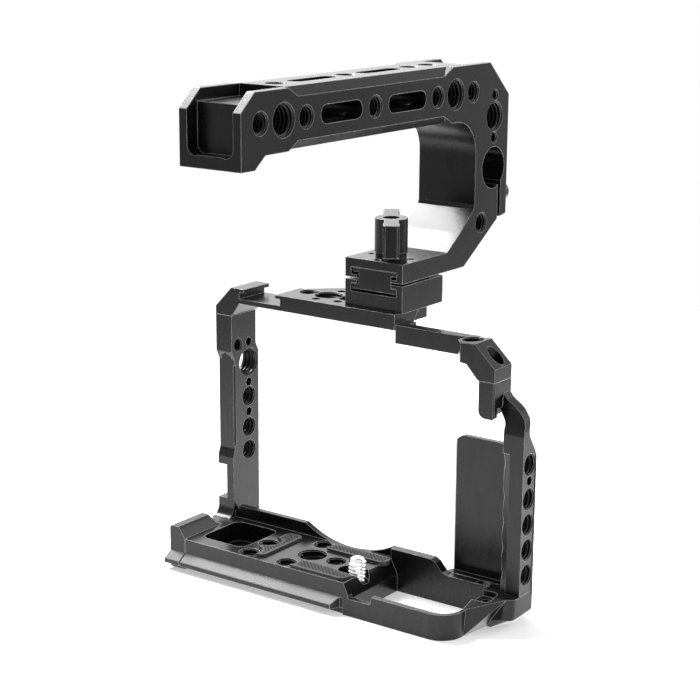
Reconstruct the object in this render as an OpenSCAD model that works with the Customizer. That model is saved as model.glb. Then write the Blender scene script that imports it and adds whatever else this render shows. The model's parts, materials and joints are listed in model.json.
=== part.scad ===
// Camera cage with a sliding top handle.
// X runs to the right seen from behind the camera, Y towards the lens, Z up.
// The origin is the axis of the large tripod hole, on the underside.

/* [Base plate] */
// Height of the deck that the camera stands on
deck_h = 11.55; // [10.8:0.05:15]
// Depth of the deck from the rear face to the front rim
deck_d = 30.3; // [29.5:0.1:36]
// Overhang of each dovetail flange past the deck
flange_out = 3.4; // [2.5:0.1:5]
// Length of the base past the inner face of the left post
left_tail = 6; // [5.2:0.1:12]
// Thickness of the front rim
rim_t = 1.95; // [1.6:0.05:3]
// Height of the front rim above the deck
rim_up = 4.6; // [3:0.1:8]
// Radius of the hollow that clears the lens
lens_r = 37.2; // [34:0.1:46]

/* [Battery frame] */
// Thickness of the walls round the battery window
wall_t = 1.95; // [1.6:0.05:3]
// Height of the rear wall of the battery window
rear_wall_h = 9; // [8:0.1:10.4]
// Width of the ledge between the window and the right post
ledge_w = 5.7; // [5.4:0.1:9]

/* [Posts] */
// Clear width between the two posts
inner_w = 118.6; // [117:0.1:140]
// Thickness of the left post
left_t = 7.3; // [6.6:0.1:9.5]
// Depth of the left post
left_d = 15.6; // [15:0.1:19]
// Distance from the tripod axis to the rear face of the left post
post_rear = 13.45; // [12.8:0.05:14.6]
// Height of the strap notch in the left post
notch_h = 13; // [10:0.1:16]
// Thickness of the right post
right_t = 7.85; // [7:0.05:10]
// Depth of the right post
right_d = 7.9; // [7.4:0.1:12]
// Distance from the tripod axis to the rear face of the right post
right_rear = 8.2; // [7.6:0.1:9.2]
// Thickness of the tab at the top of the right post
tab_t = 6; // [5:0.1:8]
// Depth of the tab at the top of the right post
tab_d = 10.6; // [10:0.1:12]

/* [Grip shell] */
// Thickness of the grip shell
shell_t = 2.15; // [1.6:0.05:3.2]
// Height of the top edge of the grip shell above the underside
shell_top = 59.5; // [52:0.1:66]
// Distance from the tripod axis to the left edge of the grip shell
shell_left = 44.9; // [43:0.1:52]
// Outer radius of the rounded corner of the grip shell
shell_r = 13; // [12.4:0.1:15]

/* [Top plate] */
// Height of the top plate above the underside
plate_top = 99.15; // [95:0.05:118]
// Thickness of the top plate
plate_t = 5.5; // [5:0.1:8]
// Depth of the raised part of the top plate
plate_d = 24.5; // [22:0.1:28]
// Inner width of the cold shoe
shoe_w = 18.6; // [18.6:0.05:19]
// Height of the cold shoe slot under its lips
shoe_h = 2.4; // [2.1:0.05:3]
// Thickness of the lips of the cold shoe
shoe_lip_t = 1.3; // [1.1:0.1:1.7]
// Height of the bar that joins the plate to the right corner
bar_h = 6.4; // [4.5:0.1:7]
// Depth of the bar
bar_d = 4.3; // [4:0.1:6]

/* [Rail and clamp] */
// Distance from the tripod axis to the middle of the handle
handle_x = 14.1; // [13:0.1:18]
// Height of the rail block
rail_h = 9.5; // [9:0.1:12]
// Length of the rail block
rail_l = 25; // [23:0.1:32]
// Gap between the rail block and the handle foot
rail_gap = 0.8; // [0.6:0.05:1.2]
// Width of the neck of the clamping key
key_neck_w = 13.6; // [12:0.1:15]
// Width of the flanges of the clamping key
key_w = 18.4; // [17:0.1:19.4]
// Clearance between the key and its grooves
key_clear = 0.3; // [0.2:0.05:0.4]
// Drop of the key when the knob is loosened
key_drop = 0.6; // [0.4:0.05:0.7]
// Radius of the knob's stud
stud_r = 2.5; // [2:0.1:3]
// Radius of the knob's hub
hub_r = 5.7; // [5:0.1:6.6]
// Height of the knob's hub
hub_h = 11.7; // [9:0.1:14]
// Distance from the knob's axis to the ends of its wings
wing_r = 17.5; // [13:0.1:20]
// Width of the wings
wing_w = 5.6; // [4.5:0.1:6.5]

/* [Handle] */
// Width of the handle
handle_w = 23.8; // [22.4:0.1:26]
// Length of the handle
handle_l = 151.7; // [148:0.1:175]
// Height of the grip bar of the handle
grip_h = 19.2; // [18:0.1:24]
// Clear height between the foot and the grip bar
hand_h = 44.9; // [40:0.1:56]
// Thickness of the handle's foot
foot_t = 6.7; // [6.2:0.1:9]
// Thickness of the handle's leg
leg_t = 21.4; // [21:0.1:26]
// Radius of the inner corner between leg and grip bar
leg_r = 12.5; // [6:0.1:16]
// Size of the broad chamfer along the grip bar
grip_chamfer = 2.9; // [1.5:0.1:4]

/* [Rod clamp] */
// Radius of the rod bore
rod_r = 7.5; // [7.5:0.01:7.6]
// Width of the slit that closes the rod clamp
slit_w = 1.8; // [1.2:0.1:2.4]
// Thickness of the clamp's jaw
jaw_t = 4.1; // [3.4:0.1:4.8]
// Radius of the clamp screws
clamp_screw_r = 2; // [1.5:0.1:2]

/* [Threaded holes] */
// Radius of the small accessory threads
small_r = 3.25; // [3.2:0.01:3.3]
// Radius of the large accessory threads
large_r = 4.85; // [4.8:0.01:4.9]
// Radius of the locating pin holes
pin_r = 1.6; // [1.4:0.05:2]
// Width of the countersink at the mouth of each thread
mouth = 0.5; // [0.3:0.05:0.7]

/* [Camera screw] */
// Distance from the camera screw's axis to the edge of the battery window
screw_in = 4.9; // [4.8:0.1:5.8]
// Radius of the camera screw's thread
screw_r = 3.15; // [3:0.01:3.17]
// Height of the camera screw's thread above the deck
screw_up = 5.3; // [4.5:0.1:6.5]
// Sideways travel of the camera screw in its slot
screw_slide = 3.1; // [2:0.1:4]

/* [Pads] */
// Thickness of the rubber pads above the deck
pad_up = 0.9; // [0.5:0.1:1.5]

/* [Screws] */
// Radius of the shank of the assembly screws
bolt_r = 1.5; // [1.25:0.05:1.6]
// Radius of the head of the assembly screws
bolt_head_r = 2.75; // [2.5:0.05:3]
// Height of the head of the assembly screws
bolt_head_h = 1.8; // [1.4:0.1:2.2]
// Clearance round the shank and the head of a screw
bolt_clear = 0.05; // [0.03:0.01:0.1]

/* [Hidden] */
$fn = 64;

// Overrun of cuts past the faces that they open
over = 1;
// Depth that two solids of one piece share where they meet
bite = 0.2;

// Base plate
rear_y = -deck_d / 2;
front_y = deck_d / 2;
left_share = 0.3971;
frame_share = 0.2045;
open_left = left_share * inner_w;
frame_start = frame_share * inner_w;
post_x = -open_left;
left_end = post_x - left_tail;
rim_top = deck_h + rim_up;
rim_y = front_y + rim_t;
rim_run = 2;
rim_drop = 2.6;
lens_share = 0.0447;
lens_x = lens_share * inner_w;
lens_gap = 1;
lens_z = deck_h - lens_gap + lens_r;
lens_y = front_y - rim_t;
foot_in = 1;
flange_root = 0.525 * deck_h;
flange_edge = 0.34 * deck_h;
flange_low = 0.195 * deck_h;
flange_end = frame_start - 1.4 * foot_in;
flange_run = 2.05;

// Block at the left end
block_up = 4.1;
block_w = 3.9;
block_run = 2.9;
block_edge = 0.9;
block_d = 17;
dip_r = 4.5;
groove_in = 7.1;
groove_w = 0.5;
pocket_in = 9.8;
pocket_land = 1.096;
pocket_d = 21.2;
pocket_deep = 7.3;
pocket_r = 3.5;
pocket_gap = 5.7;

// Holes in the deck, measured from the tripod axis
row_rear = 4.1;
near_x = 2.95;
far_x = 19.55;
top_gap = 4.5;
pocket_w = left_tail + open_left - pocket_in - far_x - small_r - pocket_land;
side_gap = 8.6;

// Battery frame
start_wall = 2.75;
window_w = inner_w - open_left - frame_start - start_wall - ledge_w;
window_x0 = frame_start + start_wall;
window_x1 = window_x0 + window_w;
window_y0 = rear_y + wall_t;
front_wall = 1.6;
window_y1 = front_y - front_wall;
window_r = 2.5;
step_h = 6.25;
step_w = 9;
step_run = 2.15;
rim_end = 14.3;
low_rim = deck_h - lens_gap;
low_rim_ends = [4, 2.2, 0.9, 0.6, 2.7];
ledge_z = 9.8;
ledge_in = 6.8;
ledge_y0 = rear_y + 15.4;
ledge_y1 = front_y - 7.8;
seam_z = deck_h + 0.4 * lens_gap;
post_pad = 1.7;
corner_r = 8;
corner_out = 1;
corner_x = window_x1 + corner_out;
window_corner_r = 6.5;
foot_round = 3;
foot_round_z = 4.5;
foot_round_in = 0.6;
shell_pad_h = 3;
// Outlines of the right wing, as shares of the ledge's width and the deck's depth
wing_low_shares = [[-0.6, 0.3], [0.17, 0.3], [0.2, 0.5], [0.3, 0.66], [0.6, 0.8], [0.6, 0.95], [-0.6, 0.95]];
wing_mid_shares = [[-0.6, 0.34], [0.17, 0.34], [1.03, 0.48], [1.3, 0.55], [1.3, 0.95], [-0.6, 0.95]];
wing_top_shares = [[-0.6, 0.66], [0.9, 0.62], [1.95, 0.62], [1.95, 0.95], [-0.6, 0.95]];
post_low_shares = [[0.15, 0.69], [0.75, 0.69], [1.5, 0.94], [1.5, 1.13], [1.3, 1.2], [-1, 1.2], [-1, 0.7]];

// Left post
post_y1 = post_rear + left_d;
post_set = 1.6;
post_low_y = post_rear + post_set;
post_set_down = 24.35;
post_set_z = plate_top - post_set_down;
post_set_run = 3.1;
arch_r = 2.6;
post_step = 1.6;
post_neck_down = 26.25;
post_neck_z = plate_top - post_neck_down;
post_neck_run = 3.3;
left_seam = plate_top - plate_t - 5.1;
notch_z = 18.4;
notch_wall = 3.3;
proud = 1.1;
proud_z = 36.6;
proud_run = 2.1;
root_r = 4;
gusset = 9;
left_hole_y = post_rear + 9.75;
left_small_ups = [45.05, 33.1, 24.25];
left_small_zs = [for (up = left_small_ups) deck_h + up];
left_pin_downs = [21.9, 37.2, 48.6];
left_pin_zs = [for (down = left_pin_downs) plate_top - down];
left_large_down = 29.6;
left_large_z = plate_top - left_large_down;
corner_hole_y = post_rear + 3.7;
corner_hole_z = plate_top - left_pin_downs[0];
corner_hole_r = 0.6 * small_r;

// Right post
post_x0 = window_x1 + ledge_w;
post_x1 = post_x0 + right_t;
right_front = right_rear + right_d;
post_edge = 2.6;
post_edge_d = 1;
right_hole_y = right_rear + 0.52 * right_d;
right_hole_down = 42.2;
right_hole_z = plate_top - right_hole_down;
right_hole_step = 11.8;
right_pitch = 8.83;
right_pin_z = right_hole_z - 5.55;
right_small_zs = [right_hole_z, for (i = [0 : 3]) right_hole_z - right_hole_step - i * right_pitch];
flare_down = 38.5;
flare_z = plate_top - flare_down;
neck_down = 32.1;
neck_z = plate_top - neck_down;
neck_d = 3.6;
bend_down = 30.4;
bend_z = plate_top - bend_down;
tab_x1 = post_x0 - 2.25;
tab_x0 = tab_x1 - tab_t;
tab_rear = right_rear - 2.75;
tab_y1 = tab_rear + tab_d;
tab_down = 27.5;
tab_z = plate_top - tab_down;
tab_r = 2.7;
tab_edge = 0.6;
right_seam_down = 15.1;
right_seam = plate_top - right_seam_down;
strap_h = 3.55;
strap_w = 3;
strap_y = tab_rear + 2.2;
elbow_in = 2;

// Grip shell
shell_back = rim_y + 3;
shell_front = shell_back + shell_t;
shell_out = 2.3;
shell_x1 = post_x1 + shell_out;
shell_foot = deck_h - 2.8;
shell_arc_x = shell_x1 - shell_r;
shell_arc_y = shell_front - shell_r;
shell_foot_h = 1.9;
shell_foot_l = 26;
shell_bevel = 1;
shell_corner = 5;

// Top plate and arm
plate_low = plate_top - plate_t;
floor_z = plate_top - shoe_lip_t - shoe_h;
rail_x0 = handle_x - handle_w / 2;
rail_x1 = handle_x + handle_w / 2;
hole_x = rail_x0 - 14;
pin_off = 7.6;
side_hole = 8.6;
shoe_x1 = hole_x - side_hole - 4.4;
shoe_x0 = shoe_x1 - shoe_w;
shoe_lip = 2.2;
plate_y0 = post_rear;
shoe_y1 = plate_y0 + 14.6;
plate_y1 = plate_y0 + plate_d;
plate_x1 = handle_x + 10.3;
plate_neck_y = plate_y0 + 11;
plate_neck_run = 4.4;
plate_neck_w = 2.9;
plate_edge = 3;
corner_rise = 3.1;
corner_run = 0.8;
hole_y = plate_y0 + 11.7;
low_pin = 6.2;
arm_gap = 0.4;
arm_x0 = plate_x1 + arm_gap;
arm_top = plate_top - 3.5;
arm_low = arm_top - bar_h;
arm_y0 = plate_y0;
arm_y1 = arm_y0 + bar_d;
arm_root = 3;
arm_ramp = 0.4;
tongue_l = 23.4;
tongue_d = 7.5;
tongue_in = 0.8;
tongue_out = 4;
block_x0 = tab_x0 - 10.6;
bar_x1 = block_x0 - 2.4;
link_y = arm_y1 - 0.55 * bar_d;
slant_x = tab_x1 - 7.9;
slant_drop = 7;
corner_low = [2.6, 5, 4.9, 0.8, 0.4];
corner_cut = [3.8, 3.4];
corner_small_x = slant_x - 4.9;
corner_small_y = tab_rear + 6.3;

// Rail block
rail_y0 = plate_y0 + 2.2;
rail_y1 = rail_y0 + rail_l;
rail_z = plate_top + rail_h;
groove_h = 2.9;
lip_h = 1.25;
groove_z = rail_z - lip_h - groove_h;
rail_bolt_x = 5;
rail_bolt_y = 7;

// Foot of the handle and clamp
foot_z0 = rail_z + rail_gap;
foot_z1 = foot_z0 + foot_t;
foot_lip = 1.05;
foot_groove = 2.5;
foot_groove_z = foot_z0 + foot_lip;
slot_l = rail_l + 1;
knob_in = 10.3;
knob_y = rail_y0 + knob_in;
hand_gap = 17.205;
knob_turn_angle = -55.6;
collar_h = 1.8;
collar_r = 5.4;
knob_gap = 0.1;
knob_z = foot_z1 + collar_h + knob_gap;
knob_top = knob_z + hub_h;
wing_low = 0.6;
wing_edge = 0.8;
wing_neck_share = 0.86;
socket_r = 3;
socket_d = 5;
key_in = 0.6;
key_y0 = rail_y0 + key_in;
key_y1 = rail_y1 - key_in;
key_foot_h = groove_h - 2 * key_clear - key_drop;
key_foot_z = rail_z - lip_h - key_clear - key_foot_h;
key_head_h = foot_groove - 2 * key_clear - key_drop;
key_head_z = foot_groove_z + foot_groove - key_clear - key_head_h;
set_r = 1.2;
set_ring = 8.2;
set_sink = 0.4;
set_l = 2.5;

// Handle
handle_z1 = foot_z1 + hand_h + grip_h;
under_z = foot_z1 + hand_h;
leg_in = knob_y + wing_r + hand_gap;
leg_y1 = leg_in + leg_t;
handle_y0 = leg_y1 - handle_l;
nose_drop = 4;
nose_l = 6.4;
nose_run = 5.1;
nose_cut_y = 6.5;
nose_cut_z = 5.8;
tail_cut_y = 13.1;
tail_cut_z = 12;
elbow_low = 12.2;
flat_in = 17.4;
foot_flat = leg_in - flat_in;
foot_bend = 14.5;
foot_bend_low = 13;
foot_bend_in = 0.6;
foot_ramp = 5.7;
heel = 5.4;
heel_up = 0.9;
big_in = 20.4;
big_out = 13.8;
trough_wall = 3;
trough_l = 20;
trough_deep = 3.9;
end_deep = 4.9;
end_floor = 2.7;
shoe_back_y = leg_in - 4.3;
shoe_deep = 2.4;
top_hole_l = 8;
side_hole_l = 8.3;
large_hole_l = 8.7;
large_mouth = 1.2 * mouth;
hole_line = handle_z1 - 9.5;
pitch_y = 11.3;
grip_ends = [22.6, 15.9];
grip_y0 = handle_y0 + grip_ends[0];
grip_y1 = leg_in - grip_ends[1];
chamfer_in_share = 1.7;
chamfer_out_share = 1.9;
slot_h = 6;
slot_r = slot_h / 2;
column_in = 12;
column_y = leg_in + column_in;
column_step = 7.5;
low_hole_y = leg_in + 4.6;
low_hole_z = foot_z1 + 7.6;

// Rod clamp
rod_y = leg_y1 - 9.45;
rod_up = 26.6;
rod_z = foot_z1 + rod_up;
jaw_down = 17.7;
jaw_z = rod_z - jaw_down;
foot_in_far = 27.8;
foot_far = leg_y1 - foot_in_far;
slit_y = leg_y1 - jaw_t - slit_w;
clamp_z = rod_z - 10.2;
clamp_x = handle_w / 3;
clamp_head_r = 3.5;
clamp_head_h = 2.6;
clamp_depth = 10;
clamp_gap = 0.1;

// Camera screw
screw_x = window_x0 - screw_in;
screw_y = -3.8;
side_x = screw_x - screw_slide - side_gap;
well_r = 4.3;
web_top = deck_h - 3.4;
web_low = deck_h - 4.9;
washer_h = 0.6;
washer_gap = 0.1;
head_h = 3.2;
neck_r = 2.4;
socket_wall = 1.6;
tip_r = 1.1;
head_z = web_low - 2 * washer_gap - washer_h - head_h;
screw_top = deck_h + screw_up;

// Pads
pad_in = 1;
pad_sink = 0.6;
left_pad_w = 6.85;
left_pad_x1 = -12.1;
left_pad_in = 2.45;
left_pad_out = 3.9;
rear_pad_w = 6.25;
front_pad_w = 5.9;
front_pad_in = 2.9;
front_pad_shift = 1.5;
pad_x0 = -1.25;
pad_l = 25;
hole_land = 0.9;

left_pad_x0 = left_pad_x1 - left_pad_w;
left_pad_y0 = rear_y + left_pad_in;
left_pad_y1 = front_y - left_pad_out;
rear_pad_y0 = rear_y + pad_in;
front_pad_y1 = front_y - front_pad_in;
front_pad_x0 = pad_x0 + front_pad_shift;
front_pad_x1 = pad_x0 + 1.1 * pad_l;
rail_mid = rail_y0 + rail_l / 2;
big_y0 = handle_y0 + big_in;
big_y1 = leg_in - big_out;
mid_hole_y = (big_y0 + big_y1) / 2;
slot_in = 7.3;
hole_drop = 9.5;
set_clear = 0.3;

// Assembly screws
bolt_l = 8;
seam_gap = 0.02;
hex_r = 1.25;
hex_d = 1.1;
dowel_r = 1;
dowel_l = 4.4;

// Bore along Z that opens upwards at z, with a countersunk mouth
module bore_up(x, y, z, r, depth, rim = mouth) {
    translate([x, y, z - depth]) cylinder(r = r, h = depth + over);
    translate([x, y, z - rim]) cylinder(r1 = r, r2 = r + rim + over, h = rim + over);
}

// Bore along Z that opens downwards at z
module bore_down(x, y, z, r, depth, rim = mouth) {
    translate([0, 0, 2 * z]) mirror([0, 0, 1]) bore_up(x, y, z, r, depth, rim);
}

// Bore along X that opens to the right at x
module bore_right(x, y, z, r, depth, rim = mouth) {
    translate([x, y, z]) rotate([0, 90, 0]) bore_up(0, 0, 0, r, depth, rim);
}

// Bore along X that opens to the left at x
module bore_left(x, y, z, r, depth, rim = mouth) {
    translate([x, y, z]) rotate([0, -90, 0]) bore_up(0, 0, 0, r, depth, rim);
}

// Box between two corners
module block(a, b) {
    translate(a) cube(b - a);
}

// Flat outline in X and Z, drawn from y0 to y1
module along_y(y0, y1) {
    translate([0, y1, 0]) rotate([90, 0, 0]) linear_extrude(y1 - y0) children();
}

// Flat outline in Y and Z, drawn from x0 to x1
module along_x(x0, x1) {
    translate([x0, 0, 0]) rotate([90, 0, 90]) linear_extrude(x1 - x0) children();
}

// Plate with four rounded corners in plan
module rounded(a, b, r) {
    for (x = [a[0] + r, b[0] - r], y = [a[1] + r, b[1] - r])
        translate([x, y, a[2]]) cylinder(r = r, h = b[2] - a[2]);
    block([a[0] + r, a[1], a[2]], [b[0] - r, b[1], b[2]]);
    block([a[0], a[1] + r, a[2]], [b[0], b[1] - r, b[2]]);
}

// Slot along Y with round ends, centred on a line along X
module slot_x(x0, x1, y0, y1, z, r) {
    for (y = [y0 + r, y1 - r])
        translate([x0, y, z]) rotate([0, 90, 0]) cylinder(r = r, h = x1 - x0);
    block([x0, y0 + r, z - r], [x1, y1 - r, z + r]);
}

// Screw with its head on top, its bearing face at z and its shank below
module bolt(x, y, z, l) {
    translate([x, y, z]) difference() {
        union() {
            cylinder(r = bolt_head_r, h = bolt_head_h);
            translate([0, 0, -l]) cylinder(r = bolt_r, h = l + bite);
        }
        translate([0, 0, bolt_head_h - hex_d]) cylinder(r = hex_r, h = hex_d + over, $fn = 6);
    }
}

// Seat of such a screw: clear round the head and the shank
module bolt_seat(x, y, z, l, head_room) {
    translate([x, y, z]) cylinder(r = bolt_head_r + bolt_clear, h = head_room);
    translate([x, y, z - l - bolt_clear]) cylinder(r = bolt_r + bolt_clear, h = l + over);
}

// Seats of the assembly screws
seam_up = 2.4;
left_bolt_z = left_seam + seam_up;
right_bolt_z = right_seam + seam_up;
left_bolt_x = post_x - left_t / 2;
left_bolt_y = post_rear + left_d / 2;
right_bolt_x = tab_x1 - 0.57 * tab_t;
right_bolt_y = tab_rear + 0.55 * tab_d;
rail_bolt_z = groove_z - bolt_head_h - bolt_clear;
rail_bolt_in = 3;
rail_bolt_l = rail_bolt_z - plate_top + rail_bolt_in;
arm_bolt_step = 9.3;
arm_bolt_xs = [handle_x, handle_x - arm_bolt_step];
arm_bolt_y = plate_y0 + 5.1;
bolt_floor = 0.3;
arm_bolt_z = plate_top - bolt_head_h - bolt_clear;
arm_bolt_l = arm_bolt_z - plate_low - bolt_floor;
stud_x = post_x0 + 0.33 * right_t;
stud_y = right_rear + right_d / 2;
stud_low = 4.2;
stud_high = 2.6;
shell_bolt_z = 4.5;
shell_bolt_y = rim_y + 2.1;
shell_bolt_ends = [5, 3];
shell_bolt_xs = [shell_left + shell_bolt_ends[0], shell_arc_x - shell_bolt_ends[1]];
shell_bolt_l = shell_foot + shell_foot_h - shell_bolt_z - bolt_floor;
small_bolt_r = 0.8;
small_head_r = 1.5;
small_head_h = 1;
small_bolt_l = 5;
ledge_bolt_in = 3.6;
front_bolt_in = 5.8;
ledge_bolts = [[window_x1 + ledge_bolt_in, (ledge_y0 + ledge_y1) / 2, ledge_z],
               [window_x1 - front_bolt_in, (window_y1 + rim_y) / 2, low_rim]];
dowels = [[post_x - left_t / 2, post_rear + 0.16 * left_d, left_seam],
          [tab_x0 + tab_t / 2, tab_rear + 0.2 * tab_d, right_seam],
          [post_x0 + 0.64 * right_t, right_rear + 0.82 * right_d, seam_z]];

// Outline of the base plate with its two dovetail flanges, in Y and Z
module base_section() {
    half = front_y;
    wide = front_y + flange_out;
    polygon([[-half + foot_in, 0], [half - foot_in, 0], [half - foot_in, flange_low], [wide, flange_low],
             [wide, flange_edge], [half, flange_root], [half, deck_h], [-half, deck_h],
             [-half, flange_root], [-wide, flange_edge], [-wide, flange_low],
             [-half + foot_in, flange_low]]);
}

// Holes and pads along the deck
deck_holes = [[-far_x, rear_y + row_rear], [-near_x, rear_y + row_rear],
              [-far_x, 0], [side_x, 0], [-near_x, front_y - top_gap]];

// Base plate, end block and dovetail
module base_body() {
    difference() {
        along_x(left_end, frame_start + bite) base_section();
        for (side = [-1, 1])
            translate([flange_end, side * front_y, -over])
                linear_extrude(flange_root + over)
                    polygon([[0, -side * bite], [flange_run + over, -side * bite],
                             [flange_run + over, side * (flange_out + over)],
                             [-flange_run, side * (flange_out + over)]]);
        block([left_end + groove_in - groove_w / 2, rear_y - flange_out - over, -over],
              [left_end + groove_in + groove_w / 2, rear_y + groove_w, deck_h + over]);
    }
    difference() {
        along_y(rear_y, rear_y + block_d + dip_r)
            polygon([[left_end, 0], [left_end, deck_h + block_up - block_edge],
                     [left_end + 0.3 * block_edge, deck_h + block_up - 0.3 * block_edge],
                     [left_end + block_edge, deck_h + block_up],
                     [left_end + block_w, deck_h + block_up],
                     [left_end + block_w + 0.3 * block_run, deck_h + 0.78 * block_up],
                     [left_end + block_w + 0.62 * block_run, deck_h + 0.5 * block_up],
                     [left_end + block_w + block_run, deck_h], [left_end + block_w + block_run, 0]]);
        translate([left_end - over, rear_y + block_d + dip_r, deck_h + dip_r])
            rotate([0, 90, 0]) cylinder(r = dip_r, h = block_w + block_run + 2 * over);
    }
}

// Left post with its notch, steps and root
module left_post() {
    root_y = post_low_y - proud;
    difference() {
        union() {
            along_x(post_x - left_t, post_x)
                polygon([[root_y - root_r, 0], [root_y - root_r, deck_h], [root_y, deck_h + root_r],
                         [root_y, proud_z - proud_run], [post_low_y - 0.6 * proud, proud_z - 0.2 * proud_run],
                         [post_low_y, proud_z + 0.6 * proud_run], [post_low_y, post_set_z - post_set_run],
                         [post_rear, post_set_z], [post_rear, left_seam],
                         [post_y1 - post_step, left_seam], [post_y1 - post_step, post_neck_z + post_neck_run],
                         [post_y1, post_neck_z], [post_y1, foot_in], [post_y1 - foot_in, 0]]);
            linear_extrude(deck_h)
                polygon([[post_x - bite, front_y - foot_in], [post_x - bite, post_y1], [post_x, post_y1],
                         [post_x + gusset, rim_y], [post_x + gusset, front_y - foot_in]]);
        }
        translate([post_x - left_t - over, root_y - root_r, deck_h + root_r])
            rotate([0, 90, 0]) cylinder(r = root_r, h = left_t + 2 * over);
        translate([post_x - left_t / 2, post_rear - over, post_set_z - post_set_run])
            rotate([-90, 0, 0]) cylinder(r = arch_r, h = post_set + over);
        block([post_x - left_t - over, root_y - over, notch_z],
              [post_x - notch_wall, post_y1 + over, notch_z + notch_h]);
        translate([post_x, post_low_y, proud_z + proud_run]) rotate(45)
            translate([-foot_in, -foot_in / 2, 0])
                cube([2 * foot_in, foot_in, post_set_z - post_set_run - proud_z - 2 * proud_run]);
    }
}

// Deck pocket, camera screw recess and lens hollow
module base_cuts() {
    rounded([left_end + pocket_in, rear_y + pocket_gap, deck_h - pocket_deep],
            [left_end + pocket_in + pocket_w, rear_y + pocket_gap + pocket_d, deck_h + over], pocket_r);
    translate([lens_x, lens_y, lens_z]) rotate([-90, 0, 0])
        cylinder(r = lens_r, h = rim_t + shell_back, $fn = 180);
    for (low = [0, 1]) {
        r = low == 0 ? well_r - bite : well_r;
        z = low == 0 ? web_top : -over;
        h = low == 0 ? deck_h : web_low + over;
        translate([screw_x, screw_y, z]) cylinder(r = r, h = h);
        translate([screw_x - screw_slide, screw_y, z]) cylinder(r = r, h = h);
        block([screw_x - screw_slide, screw_y - r, z], [screw_x, screw_y + r, z + h]);
    }
    for (x = [screw_x, screw_x - screw_slide])
        translate([x, screw_y, 0]) cylinder(r = neck_r + key_clear, h = deck_h);
    block([screw_x - screw_slide, screw_y - neck_r - key_clear, 0],
          [screw_x, screw_y + neck_r + key_clear, deck_h]);
}

// Battery window, with a broader corner at the right end of the rear wall
module window_cut() {
    intersection() {
        rounded([window_x0, window_y0, -over], [window_x1, window_y1, plate_top], window_r);
        rounded([window_x0 - 2 * window_corner_r, window_y0, -over],
                [window_x1, window_y1 + 2 * window_corner_r, plate_top], window_corner_r);
    }
}

// Walls of the battery window, right wing and ledge of the shell
module frame_body() {
    difference() {
        union() {
            along_y(rear_y, window_y0 + bite)
                polygon([[frame_start, 0], [frame_start, deck_h],
                         [frame_start + 0.3 * step_run, deck_h - 0.55 * step_run],
                         [frame_start + step_run, deck_h - step_h + step_run],
                         [frame_start + step_run, step_h], [frame_start + step_run + step_w, step_h],
                         [frame_start + 1.3 * step_run + step_w, rear_wall_h],
                         [corner_x - corner_r, rear_wall_h], [corner_x - corner_r, 0]]);
            rounded([corner_x - 2.5 * corner_r, rear_y, 0], [corner_x, rear_y + 2.5 * corner_r, rear_wall_h],
                    corner_r);
            along_y(window_y0, front_y)
                polygon([[frame_start, 0], [frame_start, deck_h],
                         [frame_start + 0.3 * step_run, deck_h - 0.55 * step_run],
                         [window_x0, step_h], [window_x0, 0]]);
            along_y(window_y1, rim_y)
                polygon([[frame_start, 0], [frame_start, rim_top - foot_in],
                         [shell_left - low_rim_ends[0], rim_top - foot_in],
                         [shell_left - low_rim_ends[1], rim_top - 2 * foot_in],
                         [shell_left - low_rim_ends[2], rim_top - 3.4 * foot_in],
                         [shell_left + low_rim_ends[3], low_rim + 0.6 * foot_in],
                         [shell_left + low_rim_ends[4], low_rim], [post_x0, low_rim], [post_x0, 0]]);
            block([shell_left, rim_y - bite, foot_in], [shell_arc_x, shell_front, shell_foot]);
            hull() {
                linear_extrude(bite) polygon(wing_points(wing_low_shares));
                translate([0, 0, rear_wall_h - foot_in]) linear_extrude(foot_in)
                    polygon(wing_points(wing_mid_shares));
                translate([0, 0, seam_z - bite]) linear_extrude(bite) polygon(wing_points(wing_top_shares));
            }
            hull() {
                linear_extrude(bite) polygon(wing_points(post_low_shares));
                translate([0, 0, seam_z - bite]) linear_extrude(bite)
                    polygon([[shell_arc_x, window_y1], [window_x1 + bite, right_rear - post_pad],
                             [post_x1 - post_pad, right_rear - post_pad], [post_x1, right_rear],
                             [post_x1, right_front], [shell_arc_x, right_front]]);
                for (y = [right_rear - foot_round / 2, right_front])
                    translate([post_x1 - foot_round - foot_round_in, y, foot_round_z])
                        cylinder(r = foot_round, h = bite, $fn = 32);
                translate([post_x1 - foot_round, right_rear - foot_round / 2, seam_z - bite])
                    cylinder(r = foot_round, h = bite, $fn = 32);
                translate([0, 0, shell_foot - shell_pad_h]) linear_extrude(shell_pad_h) intersection() {
                    translate([shell_arc_x, shell_arc_y]) circle(r = shell_r, $fn = 48);
                    translate([shell_arc_x - bite, right_front]) square([shell_r, shell_r]);
                }
            }
        }
        window_cut();
        rounded([window_x1 - 2 * window_r, ledge_y0, ledge_z],
                [window_x1 + ledge_in, ledge_y1, plate_top], window_r);
        block([shell_left - over, rim_y, shell_foot], [shell_x1 + over, shell_front + over, plate_top]);
        block([shell_arc_x, right_front, shell_foot], [shell_x1 + over, shell_front + over, plate_top]);
    }
}

// Points of the wing from its shares
function wing_points(shares) = [for (p = shares) [window_x1 + p[0] * ledge_w, rear_y + p[1] * deck_d]];

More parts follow.
